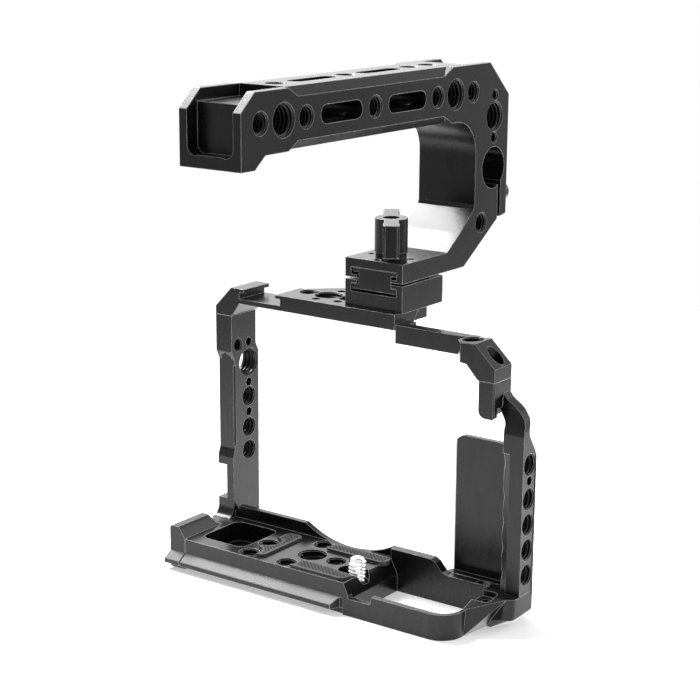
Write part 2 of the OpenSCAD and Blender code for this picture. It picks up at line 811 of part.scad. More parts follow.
// Base, rim, left post and battery frame in one milled piece
module base_frame() {
    color("#16181c") difference() {
        union() {
            difference() {
                base_body();
                window_cut();
            }
            left_post();
            frame_body();
            along_y(front_y - bite, rim_y)
                polygon([[post_x - bite, flange_root + foot_in], [post_x - bite, rim_top - rim_drop],
                         [post_x + rim_run, rim_top], [lens_x - rim_end, rim_top],
                         [lens_x, rim_top], [frame_start + bite, rim_top - foot_in],
                         [frame_start + bite, flange_root + foot_in]]);
        }
        base_cuts();
        bore_up(0, 0, deck_h, large_r, deck_h + over);
        for (h = deck_holes) {
            bore_up(h[0], h[1], deck_h, small_r, deck_h + over);
            bore_down(h[0], h[1], 0, small_r, deck_h / 2);
        }
        for (z = left_small_zs)
            through_x(post_x - left_t, post_x, left_hole_y, z, small_r);
        for (z = left_pin_zs)
            translate([post_x - left_t - over, left_hole_y, z]) rotate([0, 90, 0])
                cylinder(r = pin_r, h = left_t + 2 * over);
        through_x(post_x - left_t, post_x, left_hole_y, left_large_z, large_r);
        through_x(post_x - left_t, post_x, corner_hole_y, corner_hole_z, corner_hole_r);
        pad_recess(left_pad_x0, left_pad_y0, left_pad_x0 + left_pad_w, left_pad_y1, left_pad_w / 3);
        pad_recess(pad_x0, rear_pad_y0, pad_x0 + pad_l, rear_pad_y0 + rear_pad_w, rear_pad_w / 2.1);
        pad_recess(front_pad_x0, front_pad_y1 - front_pad_w, front_pad_x1, front_pad_y1, front_pad_w / 2.1);
        bolt_seat(left_bolt_x, left_bolt_y, left_bolt_z, bolt_l, plate_top);
        stud_bore();
        for (x = shell_bolt_xs)
            mirror([0, 0, 1]) bolt_seat(x, shell_bolt_y, -shell_bolt_z, shell_bolt_l, deck_h);
        for (b = ledge_bolts) {
            translate([b[0], b[1], b[2] - small_head_h]) cylinder(r = small_head_r + bolt_clear, h = deck_h);
            translate([b[0], b[1], b[2] - small_bolt_l]) cylinder(r = small_bolt_r + bolt_clear, h = deck_h);
        }
        for (d = dowels)
            dowel_bore(d);
    }
}

// Bore with a countersink at both ends, along X
module through_x(x0, x1, y, z, r) {
    bore_right(x1, y, z, r, x1 - x0 + over);
    bore_left(x0, y, z, r, x1 - x0 - over);
}

// Bore of a seam dowel
module dowel_bore(d) {
    translate([d[0], d[1], d[2] - dowel_l / 2 - bolt_clear])
        cylinder(r = dowel_r + bolt_clear, h = dowel_l + 2 * bolt_clear);
}

// Pad outline less the lands round the threaded holes
module pad_shape(x0, y0, x1, y1, r, z0, z1, grow) {
    difference() {
        rounded([x0 - grow, y0 - grow, z0], [x1 + grow, y1 + grow, z1], r);
        for (h = deck_holes)
            translate([h[0], h[1], z0 - over])
                cylinder(r = small_r + mouth + hole_land - grow, h = z1 - z0 + 2 * over);
        translate([screw_x - screw_slide, screw_y, z0 - over])
            cylinder(r = well_r + hole_land - grow, h = z1 - z0 + 2 * over);
        translate([screw_x, screw_y, z0 - over])
            cylinder(r = well_r + hole_land - grow, h = z1 - z0 + 2 * over);
    }
}

// Shallow recess that a pad lies in
module pad_recess(x0, y0, x1, y1, r) {
    pad_shape(x0, y0, x1, y1, r, deck_h - pad_sink, deck_h + over, bolt_clear);
}

// Rubber pad
module pad(x0, y0, x1, y1, r) {
    color("#3a3a3c") pad_shape(x0, y0, x1, y1, r, deck_h - pad_sink, deck_h + pad_up, 0);
}

// Pad on the left
module left_pad() {
    pad(left_pad_x0, left_pad_y0, left_pad_x0 + left_pad_w, left_pad_y1, left_pad_w / 3);
}

// Pad along the rear edge
module rear_pad() {
    pad(pad_x0, rear_pad_y0, pad_x0 + pad_l, rear_pad_y0 + rear_pad_w, rear_pad_w / 2.1);
}

// Pad along the front edge
module front_pad() {
    pad(front_pad_x0, front_pad_y1 - front_pad_w, front_pad_x1, front_pad_y1, front_pad_w / 2.1);
}

// Right post with its elbow and strap tab
module right_post() {
    color("#15171b") difference() {
        union() {
            translate([0, 0, seam_z]) linear_extrude(flare_z - seam_z)
                polygon([[post_x0, right_rear + post_edge_d], [post_x0 + post_edge, right_rear],
                         [post_x1, right_rear], [post_x1, right_front], [post_x0, right_front]]);
            intersection() {
                along_y(right_rear, right_front) elbow_front();
                along_x(tab_x0, post_x1) elbow_side();
            }
            difference() {
                along_y(tab_rear, tab_y1) {
                    translate([tab_x0 + tab_r, tab_z + tab_r]) circle(r = tab_r);
                    polygon([[tab_x0, tab_z + tab_r], [tab_x0 + tab_r, tab_z], [tab_x1 - tab_edge, tab_z],
                             [tab_x1, tab_z + tab_edge], [tab_x1, right_seam], [tab_x0, right_seam]]);
                }
                translate([tab_x1, tab_rear, tab_z - over]) rotate(45)
                    translate([-tab_edge, -tab_edge / 2, 0]) cube([2 * tab_edge, tab_edge, plate_top]);
                block([tab_x1 - strap_w, strap_y, tab_z - over],
                      [tab_x1 + over, tab_y1 + over, tab_z + strap_h]);
            }
        }
        for (z = right_small_zs)
            through_x(post_x0, post_x1, right_hole_y, z, small_r);
        translate([post_x0 - over, right_hole_y, right_pin_z]) rotate([0, 90, 0])
            cylinder(r = pin_r, h = right_t + 2 * over);
        bolt_seat(right_bolt_x, right_bolt_y, right_bolt_z, bolt_l, plate_top);
        stud_bore();
        for (d = dowels)
            dowel_bore(d);
    }
}

// Elbow between post and tab, seen from the rear
module elbow_front() {
    run = post_x1 - tab_x1;
    rise = right_seam - bend_z;
    polygon([[post_x0, flare_z - bite], [post_x0, bend_z], [tab_x1 + 0.24 * run, bend_z + 0.06 * rise],
             [tab_x1 + 0.2 * run, bend_z + 0.15 * rise], [tab_x1 - 0.05 * run, bend_z + 0.36 * rise],
             [tab_x1 - elbow_in, tab_z + strap_h], [tab_x1 - elbow_in, bend_z + 0.8 * rise],
             [tab_x1, bend_z + 0.72 * rise], [tab_x1 + 0.18 * run, bend_z + 0.6 * rise],
             [tab_x1 + 0.48 * run, bend_z + 0.48 * rise], [tab_x1 + 0.68 * run, bend_z + 0.38 * rise],
             [tab_x1 + 0.9 * run, bend_z + 0.24 * rise], [tab_x1 + 0.98 * run, bend_z + 0.12 * rise],
             [post_x1, bend_z], [post_x1, flare_z - bite]]);
}

// Elbow between post and tab, seen from the side
module elbow_side() {
    run = right_front - right_rear - neck_d;
    rise = right_seam - neck_z;
    polygon([[right_rear, flare_z - bite], [right_rear, neck_z], [right_rear + 0.1 * run, neck_z + 0.14 * rise],
             [right_rear + 0.6 * run, neck_z + 0.47 * rise], [right_rear + 0.8 * run, right_seam],
             [tab_y1, right_seam], [right_front - 0.3 * run, neck_z + 0.47 * rise],
             [right_rear + neck_d, neck_z + 0.14 * rise], [right_rear + neck_d, neck_z],
             [right_front, flare_z], [right_front, flare_z - bite]]);
}

// Curved shell in front of the grip
module grip_shell() {
    color("#17191d") difference() {
        union() {
            difference() {
                union() {
                    block([shell_left, shell_back, shell_foot],
                          [shell_arc_x, shell_front, shell_top - shell_corner]);
                    block([shell_left + shell_corner, shell_back, shell_foot],
                          [shell_arc_x, shell_front, shell_top]);
                    translate([shell_left + shell_corner, shell_front, shell_top - shell_corner])
                        rotate([90, 0, 0]) cylinder(r = shell_corner, h = shell_t);
                    difference() {
                        translate([shell_arc_x, shell_arc_y, shell_foot])
                            cylinder(r = shell_r, h = shell_top - shell_foot);
                        translate([shell_arc_x, shell_arc_y, shell_foot - over])
                            cylinder(r = shell_r - shell_t, h = shell_top - shell_foot + 2 * over);
                        block([shell_arc_x - shell_r - over, shell_arc_y - shell_r - over, shell_foot - over],
                              [shell_arc_x, shell_front + over, shell_top + over]);
                        block([shell_arc_x - over, shell_arc_y - shell_r - over, shell_foot - over],
                              [shell_x1 + over, right_front + seam_gap, shell_top + over]);
                    }
                }
                translate([shell_left, shell_back, 0]) rotate(45)
                    translate([-shell_bevel, -shell_bevel, 0])
                        cube([2 * shell_bevel, 2 * shell_bevel, shell_top + over]);
            }
            block([shell_left, rim_y + bolt_clear, shell_foot],
                  [shell_left + shell_foot_l, shell_back + bite, shell_foot + shell_foot_h]);
        }
        for (x = shell_bolt_xs)
            mirror([0, 0, 1]) bolt_seat(x, shell_bolt_y, -shell_bolt_z, shell_bolt_l, bite);
    }
}

// Top plate with the cold shoe and the corner over the left post
module top_plate() {
    color("#17191d") difference() {
        union() {
            along_y(plate_y0, shoe_y1)
                polygon([[post_x, left_seam], [post_x + corner_run, left_seam + corner_run],
                         [shoe_x0, plate_low], [shoe_x1, plate_low],
                         [shoe_x1, plate_top], [post_x, plate_top], [post_x - left_t, left_seam + corner_rise],
                         [post_x - left_t, left_seam]]);
            translate([0, 0, plate_low]) linear_extrude(plate_t)
                polygon([[shoe_x1 - bite, plate_y0], [plate_x1, plate_y0], [plate_x1, plate_y1 - plate_edge],
                         [plate_x1 - plate_edge, plate_y1], [hole_x - plate_edge, plate_y1],
                         [shoe_x1 - bite, shoe_y1]]);
        }
        along_x(plate_x1 - plate_neck_w, plate_x1 + over)
            polygon([[plate_neck_y - plate_neck_run / plate_t * over, plate_low - over],
                     [plate_neck_y + plate_neck_run / plate_t * (plate_t + over), plate_top + over],
                     [plate_y1 + over, plate_top + over], [plate_y1 + over, plate_low - over]]);
        block([shoe_x0, plate_y0 - over, floor_z], [shoe_x1, shoe_y1 + over, floor_z + shoe_h]);
        block([shoe_x0 + shoe_lip, plate_y0 - over, floor_z],
              [shoe_x1 - shoe_lip, shoe_y1 + over, plate_top + over]);
        bore_up(hole_x, hole_y, plate_top, large_r, plate_t + over);
        for (y = [-1, 1])
            translate([hole_x, hole_y + y * pin_off, plate_low - over])
                cylinder(r = pin_r, h = plate_t + 2 * over);
        for (x = [-1, 1])
            bore_up(hole_x + x * side_hole, hole_y, plate_top, small_r, plate_t + over);
        bore_up(hole_x + side_hole, hole_y - low_pin, plate_top, pin_r, plate_t + over, mouth / 2);
        block([arm_x0 - tongue_l - bolt_clear, plate_y0 + tongue_in - bolt_clear, plate_low - over],
              [plate_x1 + tongue_out, plate_y0 + tongue_in + tongue_d + bolt_clear, arm_top + bolt_clear]);
        for (x = arm_bolt_xs)
            bolt_seat(x, arm_bolt_y, arm_bolt_z, arm_bolt_l, plate_t);
        for (x = [-1, 1], y = [-1, 1])
            bolt_seat(handle_x + x * rail_bolt_x, rail_mid + y * rail_bolt_y, rail_bolt_z,
                      rail_bolt_l, plate_t);
        bolt_seat(left_bolt_x, left_bolt_y, left_bolt_z, bolt_l, plate_top);
        for (d = dowels)
            dowel_bore(d);
    }
}

// Bar and corner that join the top plate to the right post
module right_arm() {
    color("#15171b") difference() {
        union() {
            block([arm_x0, arm_y0, arm_low], [bar_x1, arm_y1, arm_top]);
            translate([bar_x1, arm_y1 - bar_d / 2, arm_low]) cylinder(r = bar_d / 2, h = bar_h);
            block([arm_x0 - tongue_l, arm_y0 + tongue_in, plate_low],
                  [arm_x0 + bite, arm_y0 + tongue_in + tongue_d, arm_top]);
            block([arm_x0, arm_y0 + bar_d - bite, plate_low],
                  [arm_x0 + arm_root, arm_y0 + tongue_in + tongue_d, arm_top]);
            block([bar_x1 - bite, link_y, arm_low], [block_x0 + over, arm_y1, arm_top]);
            intersection() {
                along_y(tab_rear, arm_y1)
                    polygon([[block_x0, arm_low], [block_x0, arm_top], [slant_x, arm_top + arm_ramp],
                             [tab_x1, arm_top - slant_drop], [tab_x1, right_seam], [tab_x0, right_seam],
                             [tab_x0 - corner_low[3], right_seam + corner_low[4]],
                             [tab_x0 - corner_low[1], right_seam + corner_low[2]],
                             [block_x0 + corner_low[0], arm_low]]);
                translate([0, 0, right_seam - over]) linear_extrude(plate_top)
                    polygon([[block_x0, arm_y1 + over], [block_x0, tab_rear + corner_cut[0]],
                             [block_x0 + corner_cut[1], tab_rear - bite], [tab_x1 + over, tab_rear - bite],
                             [tab_x1 + over, tab_y1], [block_x0 + corner_cut[1], tab_y1],
                             [block_x0 + corner_cut[1], arm_y1 + over]]);
            }
        }
        bore_up(corner_small_x, corner_small_y, arm_top + arm_ramp / 2, small_r, 2 * bar_h);
        bolt_seat(right_bolt_x, right_bolt_y, right_bolt_z, bolt_l, plate_top);
        for (x = arm_bolt_xs)
            bolt_seat(x, arm_bolt_y, arm_bolt_z, arm_bolt_l, plate_t);
        for (d = dowels)
            dowel_bore(d);
    }
}

// Rail block with the T-slot that the handle slides on
module rail_block() {
    neck = key_neck_w / 2 + key_clear;
    half = key_w / 2 + key_clear;
    color("#16181c") difference() {
        block([rail_x0, rail_y0, plate_top], [rail_x1, rail_y1, rail_z]);
        block([handle_x - neck, rail_y0 - over, groove_z], [handle_x + neck, rail_y1 + over, rail_z + over]);
        block([handle_x - half, rail_y0 - over, groove_z],
              [handle_x + half, rail_y1 + over, groove_z + groove_h]);
        for (x = [-1, 1], y = [-1, 1])
            bolt_seat(handle_x + x * rail_bolt_x, rail_mid + y * rail_bolt_y, rail_bolt_z, rail_bolt_l, rail_h);
    }
}

// Washer that carries the camera screw along its slot
module screw_washer() {
    color("#b9bcc0") translate([screw_x, screw_y, web_low - washer_gap - washer_h]) difference() {
        cylinder(r = well_r - 2 * bite, h = washer_h);
        translate([0, 0, -over]) cylinder(r = neck_r + bolt_clear, h = washer_h + 2 * over);
    }
}

// Screw that holds the camera
module camera_screw() {
    color("#c9ccd0") translate([screw_x, screw_y, 0]) difference() {
        union() {
            translate([0, 0, head_z]) cylinder(r = well_r - 2 * bite, h = head_h);
            translate([0, 0, head_z]) cylinder(r = neck_r, h = deck_h - head_z);
            translate([0, 0, web_top + bite]) cylinder(r = screw_r, h = screw_top - web_top - bite - tip_r);
            translate([0, 0, screw_top - tip_r]) cylinder(r1 = screw_r, r2 = screw_r - tip_r, h = tip_r);
        }
        translate([0, 0, head_z - over]) cylinder(r = 0.9 * neck_r, h = hex_d + over, $fn = 6);
    }
}

// Screw of the left corner
module left_corner_screw() {
    color("#2a2c30") bolt(left_bolt_x, left_bolt_y, left_bolt_z, bolt_l);
}

// Screw of the right corner
module right_corner_screw() {
    color("#2a2c30") bolt(right_bolt_x, right_bolt_y, right_bolt_z, bolt_l);
}

// Screws that hold the arm in the top plate
module arm_screws() {
    color("#2a2c30") for (x = arm_bolt_xs)
        bolt(x, arm_bolt_y, arm_bolt_z, arm_bolt_l);
}

// Screws that hold the rail block
module rail_screws() {
    color("#2a2c30") for (x = [-1, 1], y = [-1, 1])
        bolt(handle_x + x * rail_bolt_x, rail_mid + y * rail_bolt_y, rail_bolt_z, rail_bolt_l);
}

// Stud inside the foot of the right post
module post_stud() {
    color("#2a2c30") translate([stud_x, stud_y, seam_z - stud_low])
        cylinder(r = bolt_r, h = stud_low + stud_high);
}

// Bore for that stud
module stud_bore() {
    translate([stud_x, stud_y, seam_z - stud_low - bolt_clear])
        cylinder(r = bolt_r + bolt_clear, h = stud_low + stud_high + 2 * bolt_clear);
}

// Screws that hold the grip shell, from below
module shell_screws() {
    color("#2a2c30") for (x = shell_bolt_xs)
        mirror([0, 0, 1]) bolt(x, shell_bolt_y, -shell_bolt_z, shell_bolt_l);
}

// Small screws in the ledge and in the front wall
module ledge_screws() {
    color("#2a2c30") for (b = ledge_bolts)
        translate([b[0], b[1], b[2]]) difference() {
            union() {
                translate([0, 0, -small_head_h]) cylinder(r = small_head_r, h = small_head_h);
                translate([0, 0, -small_bolt_l]) cylinder(r = small_bolt_r, h = small_bolt_l);
            }
            translate([0, 0, -small_head_h / 2]) cylinder(r = small_bolt_r, h = small_head_h, $fn = 6);
        }
}

// Dowels that line up the seams
module seam_dowels() {
    color("#a9acb0") for (d = dowels)
        translate([d[0], d[1], d[2] - dowel_l / 2]) cylinder(r = dowel_r, h = dowel_l);
}

// Side outline of the handle
module handle_outline() {
    difference() {
        polygon([[rail_y0, foot_z0], [foot_far, foot_z0], [leg_y1 - heel, jaw_z - heel_up], [leg_y1, jaw_z],
                 [leg_y1, handle_z1 - tail_cut_z], [leg_y1 - tail_cut_y, handle_z1],
                 [handle_y0 + nose_cut_y, handle_z1], [handle_y0, handle_z1 - nose_cut_z],
                 [handle_y0, under_z - nose_drop], [handle_y0 + nose_l, under_z - nose_drop],
                 [handle_y0 + nose_l + nose_run, under_z], [leg_in - leg_r, under_z],
                 [leg_in - leg_r, under_z - leg_r], [leg_in, under_z - leg_r],
                 [leg_in, foot_z1 + foot_bend], [leg_in - foot_bend_in, foot_z1 + foot_bend_low],
                 [(foot_flat + leg_in) / 2 - foot_bend_in, foot_z1 + foot_ramp], [foot_flat, foot_z1],
                 [rail_y0, foot_z1]]);
        translate([leg_in - leg_r, under_z - leg_r]) circle(r = leg_r);
    }
}

// Long chamfer on one edge of the grip bar
module long_chamfer(side, z, way) {
    c = grip_chamfer;
    edge = handle_x + side * handle_w / 2;
    intersection() {
        along_y(grip_y0 - over, grip_y1 + over)
            polygon([[edge + side * over, z - way * c - way * over], [edge + side * over, z + way * over],
                     [edge - side * (c + over), z + way * over]]);
        along_x(edge - c - 2 * over, edge + c + 2 * over)
            polygon([[grip_y0, z + way * over], [grip_y0, z], [grip_y0 + chamfer_in_share * c, z - way * c],
                     [grip_y1 - chamfer_out_share * c, z - way * c], [grip_y1, z], [grip_y1, z + way * over]]);
    }
}

// Slot through the grip bar, seen from the side
module grip_slot(a, b) {
    slot_x(rail_x0 - over, rail_x1 + over, a, b, hole_line, slot_r);
    for (y = [a + slot_r, b - slot_r])
        translate([handle_x, y, hole_line]) cylinder(r = slot_r, h = hole_drop + over);
    block([handle_x - slot_r, a + slot_r, hole_line], [handle_x + slot_r, b - slot_r, handle_z1 + over]);
}

// Blind threads on both sides of the handle
module side_holes(y, z, r, depth, rim = mouth) {
    bore_right(rail_x1, y, z, r, depth, rim);
    bore_left(rail_x0, y, z, r, depth, rim);
}

// Handle with its foot, leg, rod clamp and grip bar
module handle_frame() {
    neck = key_neck_w / 2 + key_clear;
    half = key_w / 2 + key_clear;
    inner = handle_w / 2 - trough_wall;
    color("#141519") difference() {
        along_x(rail_x0, rail_x1) handle_outline();
        for (side = [-1, 1]) {
            long_chamfer(side, handle_z1, 1);
            long_chamfer(side, under_z, -1);
        }
        block([handle_x - neck, rail_y0 - over, foot_z0 - over],
              [handle_x + neck, rail_y0 + slot_l, foot_groove_z + foot_groove]);
        block([handle_x - half, rail_y0 - over, foot_groove_z],
              [handle_x + half, rail_y0 + slot_l, foot_groove_z + foot_groove]);
        translate([handle_x, knob_y, foot_z0]) cylinder(r = stud_r + key_clear, h = foot_t + over);
        for (a = [[1, 0], [-1, 0], [0, 1], [0, -1]])
            translate([handle_x + a[0] * set_ring, knob_y + a[1] * set_ring, foot_groove_z])
                cylinder(r = set_r + bolt_clear, h = foot_t);
        block([handle_x - inner, handle_y0 + end_deep, handle_z1 - trough_deep],
              [handle_x + inner, handle_y0 + end_deep + trough_l, handle_z1 + over]);
        block([handle_x - inner, handle_y0 - over, under_z + end_floor],
              [handle_x + inner, handle_y0 + end_deep, handle_z1 + over]);
        block([handle_x - inner + trough_wall, handle_y0 - over, under_z],
              [handle_x + inner - trough_wall, handle_y0 + end_deep, under_z + end_floor + over]);
        for (side = [-1, 1])
            translate([handle_x + side * (inner - trough_wall), handle_y0 + end_deep, under_z + end_floor])
                rotate([90, 0, 0]) cylinder(r = trough_wall, h = end_deep + over);
        block([handle_x - inner, shoe_back_y, handle_z1 - shoe_deep],
              [handle_x + inner, leg_y1 + over, handle_z1 + over]);
        for (y = [big_y0, big_y1])
            side_holes(y, hole_line, large_r, large_hole_l, large_mouth);
        for (y = [big_y0 - pitch_y, big_y0 + pitch_y, mid_hole_y, big_y1 - pitch_y, big_y1 + pitch_y])
            side_holes(y, hole_line, small_r, side_hole_l);
        for (y = [big_y0 + pitch_y, mid_hole_y, big_y1 - pitch_y, big_y1])
            bore_up(handle_x, y, handle_z1, small_r, top_hole_l);
        grip_slot(big_y0 + pitch_y + slot_in, mid_hole_y - slot_in);
        grip_slot(mid_hole_y + slot_in, big_y1 - pitch_y - slot_in);
        side_holes(column_y, under_z, large_r, large_hole_l, large_mouth);
        for (z = [under_z - column_step, under_z + column_step])
            side_holes(column_y, z, pin_r, side_hole_l);
        side_holes(low_hole_y, low_hole_z, small_r, side_hole_l);
        translate([rail_x0 - over, rod_y, rod_z]) rotate([0, 90, 0])
            cylinder(r = rod_r, h = handle_w + 2 * over, $fn = 96);
        block([rail_x0 - over, slit_y, foot_z0], [rail_x1 + over, slit_y + slit_w, rod_z]);
        for (side = [-1, 1])
            translate([handle_x + side * clamp_x, leg_y1 + over, clamp_z]) rotate([90, 0, 0])
                cylinder(r = clamp_screw_r + bolt_clear, h = jaw_t + slit_w + clamp_depth + over);
    }
}

// Set screws round the knob
module handle_set_screws() {
    color("#2a2c30") for (a = [[1, 0], [-1, 0], [0, 1], [0, -1]])
        translate([handle_x + a[0] * set_ring, knob_y + a[1] * set_ring, foot_z1 - set_sink - set_l])
        difference() {
            cylinder(r = set_r, h = set_l);
            translate([0, 0, set_l - set_r]) cylinder(r = set_r / 2, h = set_r + over, $fn = 6);
        }
}

// Collar under the knob
module knob_collar() {
    color("#101114") translate([handle_x, knob_y, foot_z1]) difference() {
        cylinder(r = collar_r, h = collar_h);
        translate([0, 0, -over]) cylinder(r = stud_r + key_clear, h = collar_h + 2 * over);
    }
}

// Wing knob
module wing_knob() {
    color("#101114") translate([handle_x, knob_y, knob_z]) difference() {
        union() {
            cylinder(r = hub_r, h = hub_h);
            rotate(knob_turn_angle) translate([0, 0, wing_low]) {
                block([-wing_r + wing_w / 2, -wing_neck_share * wing_w / 2, 0],
                      [wing_r - wing_w / 2, wing_neck_share * wing_w / 2, hub_h - wing_low]);
                for (side = [-1, 1])
                    linear_extrude(hub_h - wing_low)
                        polygon([[side * (wing_r - 1.3 * wing_w), -wing_neck_share * wing_w / 2],
                                 [side * (wing_r - 0.8 * wing_w), -wing_w / 2],
                                 [side * (wing_r - wing_edge), -wing_w / 2],
                                 [side * wing_r, wing_edge - wing_w / 2],
                                 [side * wing_r, wing_w / 2 - wing_edge],
                                 [side * (wing_r - wing_edge), wing_w / 2],
                                 [side * (wing_r - 0.8 * wing_w), wing_w / 2],
                                 [side * (wing_r - 1.3 * wing_w), wing_neck_share * wing_w / 2]]);
            }
        }
        translate([0, 0, -over]) cylinder(r = stud_r + bolt_clear, h = hub_h - socket_d + 2 * over);
        translate([0, 0, hub_h - socket_d]) cylinder(r = socket_r, h = socket_d + over);
    }
}

// Stud of the knob, which the key rides on
module knob_stud() {
    color("#8d9094") difference() {
        translate([handle_x, knob_y, key_foot_z + bite])
            cylinder(r = stud_r, h = knob_top - socket_d - key_foot_z - bite);
        translate([handle_x, knob_y, knob_top - socket_d - hex_d])
            cylinder(r = hex_r, h = hex_d + over, $fn = 6);
    }
}

// Key that clamps the foot to the rail
module clamp_key() {
    color("#7f8286") difference() {
        union() {
            block([handle_x - key_w / 2, key_y0, key_foot_z],
                  [handle_x + key_w / 2, key_y1, key_foot_z + key_foot_h]);
            block([handle_x - key_neck_w / 2, key_y0, key_foot_z],
                  [handle_x + key_neck_w / 2, key_y1, key_head_z + key_head_h]);
            block([handle_x - key_w / 2, key_y0, key_head_z],
                  [handle_x + key_w / 2, key_y1, key_head_z + key_head_h]);
        }
        translate([handle_x, knob_y, key_foot_z - over])
            cylinder(r = stud_r + bolt_clear, h = key_head_z - key_foot_z + key_head_h + 2 * over);
    }
}

// One screw of the rod clamp
module clamp_screw(side) {
    color("#2a2c30") translate([handle_x + side * clamp_x, leg_y1 + clamp_gap, clamp_z])
    rotate([-90, 0, 0]) difference() {
        union() {
            cylinder(r = clamp_head_r, h = clamp_head_h);
            translate([0, 0, -clamp_gap - jaw_t - slit_w - clamp_depth + over])
                cylinder(r = clamp_screw_r, h = clamp_gap + jaw_t + slit_w + clamp_depth - over + bite);
        }
        translate([0, 0, clamp_head_h - hex_d]) cylinder(r = hex_r, h = hex_d + over, $fn = 6);
    }
}

// Right screw of the rod clamp
module clamp_screw_right() {
    clamp_screw(1);
}

// Left screw of the rod clamp
module clamp_screw_left() {
    clamp_screw(-1);
}

base_frame();
right_post();
grip_shell();
top_plate();
right_arm();
rail_block();
left_pad();
rear_pad();
front_pad();
screw_washer();
camera_screw();
left_corner_screw();
right_corner_screw();
arm_screws();
rail_screws();
post_stud();
shell_screws();
ledge_screws();
seam_dowels();
handle_frame();
handle_set_screws();
knob_collar();
wing_knob();
knob_stud();
clamp_key();
clamp_screw_right();
clamp_screw_left();
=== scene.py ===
"""Camera cage with a sliding top handle.

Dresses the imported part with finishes, threads and pad texture, and sets the studio around it.
"""

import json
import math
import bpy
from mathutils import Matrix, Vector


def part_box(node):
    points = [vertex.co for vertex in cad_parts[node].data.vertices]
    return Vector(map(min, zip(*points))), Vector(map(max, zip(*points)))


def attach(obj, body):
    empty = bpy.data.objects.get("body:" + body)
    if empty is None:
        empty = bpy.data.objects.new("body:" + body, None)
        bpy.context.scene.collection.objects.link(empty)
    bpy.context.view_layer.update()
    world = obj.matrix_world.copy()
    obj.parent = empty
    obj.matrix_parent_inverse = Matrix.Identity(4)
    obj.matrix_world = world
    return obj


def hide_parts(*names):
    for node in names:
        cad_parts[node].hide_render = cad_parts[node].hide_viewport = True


bl_info = {
    "name": "Camera Cage",
    "version": (1, 0, 0),
    "blender": (4, 5, 0),
    "location": "View3D > Sidebar > Cage",
    "description": "Dresses the camera cage with anodising, threads and pad texture",
    "category": "Object",
}

from collections import namedtuple

import bmesh
import bpy
from mathutils import Matrix, Vector

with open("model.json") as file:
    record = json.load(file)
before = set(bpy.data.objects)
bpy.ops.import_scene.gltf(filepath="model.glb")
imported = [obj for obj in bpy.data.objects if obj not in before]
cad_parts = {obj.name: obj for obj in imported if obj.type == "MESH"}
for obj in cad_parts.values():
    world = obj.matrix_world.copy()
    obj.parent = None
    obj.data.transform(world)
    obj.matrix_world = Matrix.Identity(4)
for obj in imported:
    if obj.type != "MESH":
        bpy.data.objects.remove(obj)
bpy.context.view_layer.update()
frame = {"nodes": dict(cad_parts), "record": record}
MOUNTS = {mount["name"]: mount for mount in frame["record"]["mounts"]}
MM = 0.001

# Photograph's camera: its place in metres, its three axes, its focal length and sensor width in
# millimetres, and in metres how near it sees
CAMERA_PLACE = (0.35305, -0.46951, 0.23372)
CAMERA_RIGHT = (0.81096816, 0.58504475, 0.00729966)
CAMERA_UP = (-0.14850161, 0.193748, 0.96974687)
CAMERA_BACK = (0.56593102, -0.78751784, 0.24400354)
CAMERA_LENS = 91.098
CAMERA_SENSOR = 36
CAMERA_CLIP_START = 0.01

# Lamps: name, place in metres, size, share of the key light's power setting, and what it points at
LAMPS = (
    ("key", (-0.7, 0.2, 1.0), (0.5, 0.5), 5, (0, 0, 0.08)),
    ("far_left", (-0.75, 1.0, 0.7), (1.0, 0.7), 0.6, (0, 0, 0.08)),
    ("far_right", (0.9, 0.9, 0.65), (1.0, 0.7), 1.1, (0, 0, 0.08)),
    ("right", (1.1, -0.1, 0.5), (0.4, 0.8), 0.2, (0, 0, 0.09)),
)
WORLD_LIGHT = 0.4

# Floor: its glow as the camera and as gloss see it, and the distances over which it turns white
FLOOR_COLOUR = (0.86, 0.86, 0.86)
FLOOR_ROUGHNESS = 0.9
FLOOR_SPECULAR = 0.1
FLOOR_CAMERA_GLOW = 0.42
FLOOR_GLOSS_GLOW = 2
FLOOR_FADE = (0.16, 0.5)

# Range of a noise that a pattern uses, and the roughness of the noise itself
NOISE_SPAN = (0.3, 0.7)
NOISE_ROUGHNESS = 0.55

# Edges: cosines between which a rounded normal marks an edge, and the samples that round it
EDGE_SPAN = (0.995, 0.86)
EDGE_SAMPLES = 6

# Anodised metal. Scales are in features per metre, and a bump is a strength and a height in metres.
# Clouds start a little smoother than the set roughness and reach over the range from there
GRAIN_SCALE = 5200
GRAIN_BUMP = (0.12, 0.00004)
CLOUD_SCALE = 38
CLOUD_COLOUR_SPAN = (0.35, 0.7)
CLOUD_ROUGHNESS_SPAN = (0.3, 0.75)
CLOUD_LIFT = 1.5
CLOUD_SMOOTHER = 0.04
CLOUD_ROUGHNESS_RANGE = 0.09
STREAK_SCALE = 2600
STREAK_STRETCH = 0.04
STREAK_SPECULAR = (0.16, 0.2)

# Rubber of the pads
RUBBER_GRAIN_SCALE = 2600
RUBBER_PATCH_SCALE = 120
RUBBER_PATCH_LIFT = 1.35
RUBBER_ROUGHNESS = (0.5, 0.68)
RUBBER_BUMP = (0.25, 0.00005)
RUBBER_SPECULAR = 0.4

# Steels: colour, roughness, and how much rougher their turning marks make them
STEELS = {
    "black_steel": ((0.02, 0.02, 0.022), 0.26, 0.1),
    "grey_steel": ((0.42, 0.42, 0.44), 0.3, 0.12),
    "bright_steel": ((0.78, 0.78, 0.79), 0.14, 0.08),
}
MARK_SCALE = 900
MARK_STRETCH = 14
MARK_LIFT = 1.18
MARK_BUMP = (0.08, 0.00004)
# Painted highlight on steel edges: the radius of its edge mask, and how much it lifts the colour
# and adds to it
STEEL_EDGE_RADIUS = 0.00015
STEEL_EDGE_HIGHLIGHT_LIFT = 1.6
STEEL_EDGE_HIGHLIGHT_ADDED = 0.02

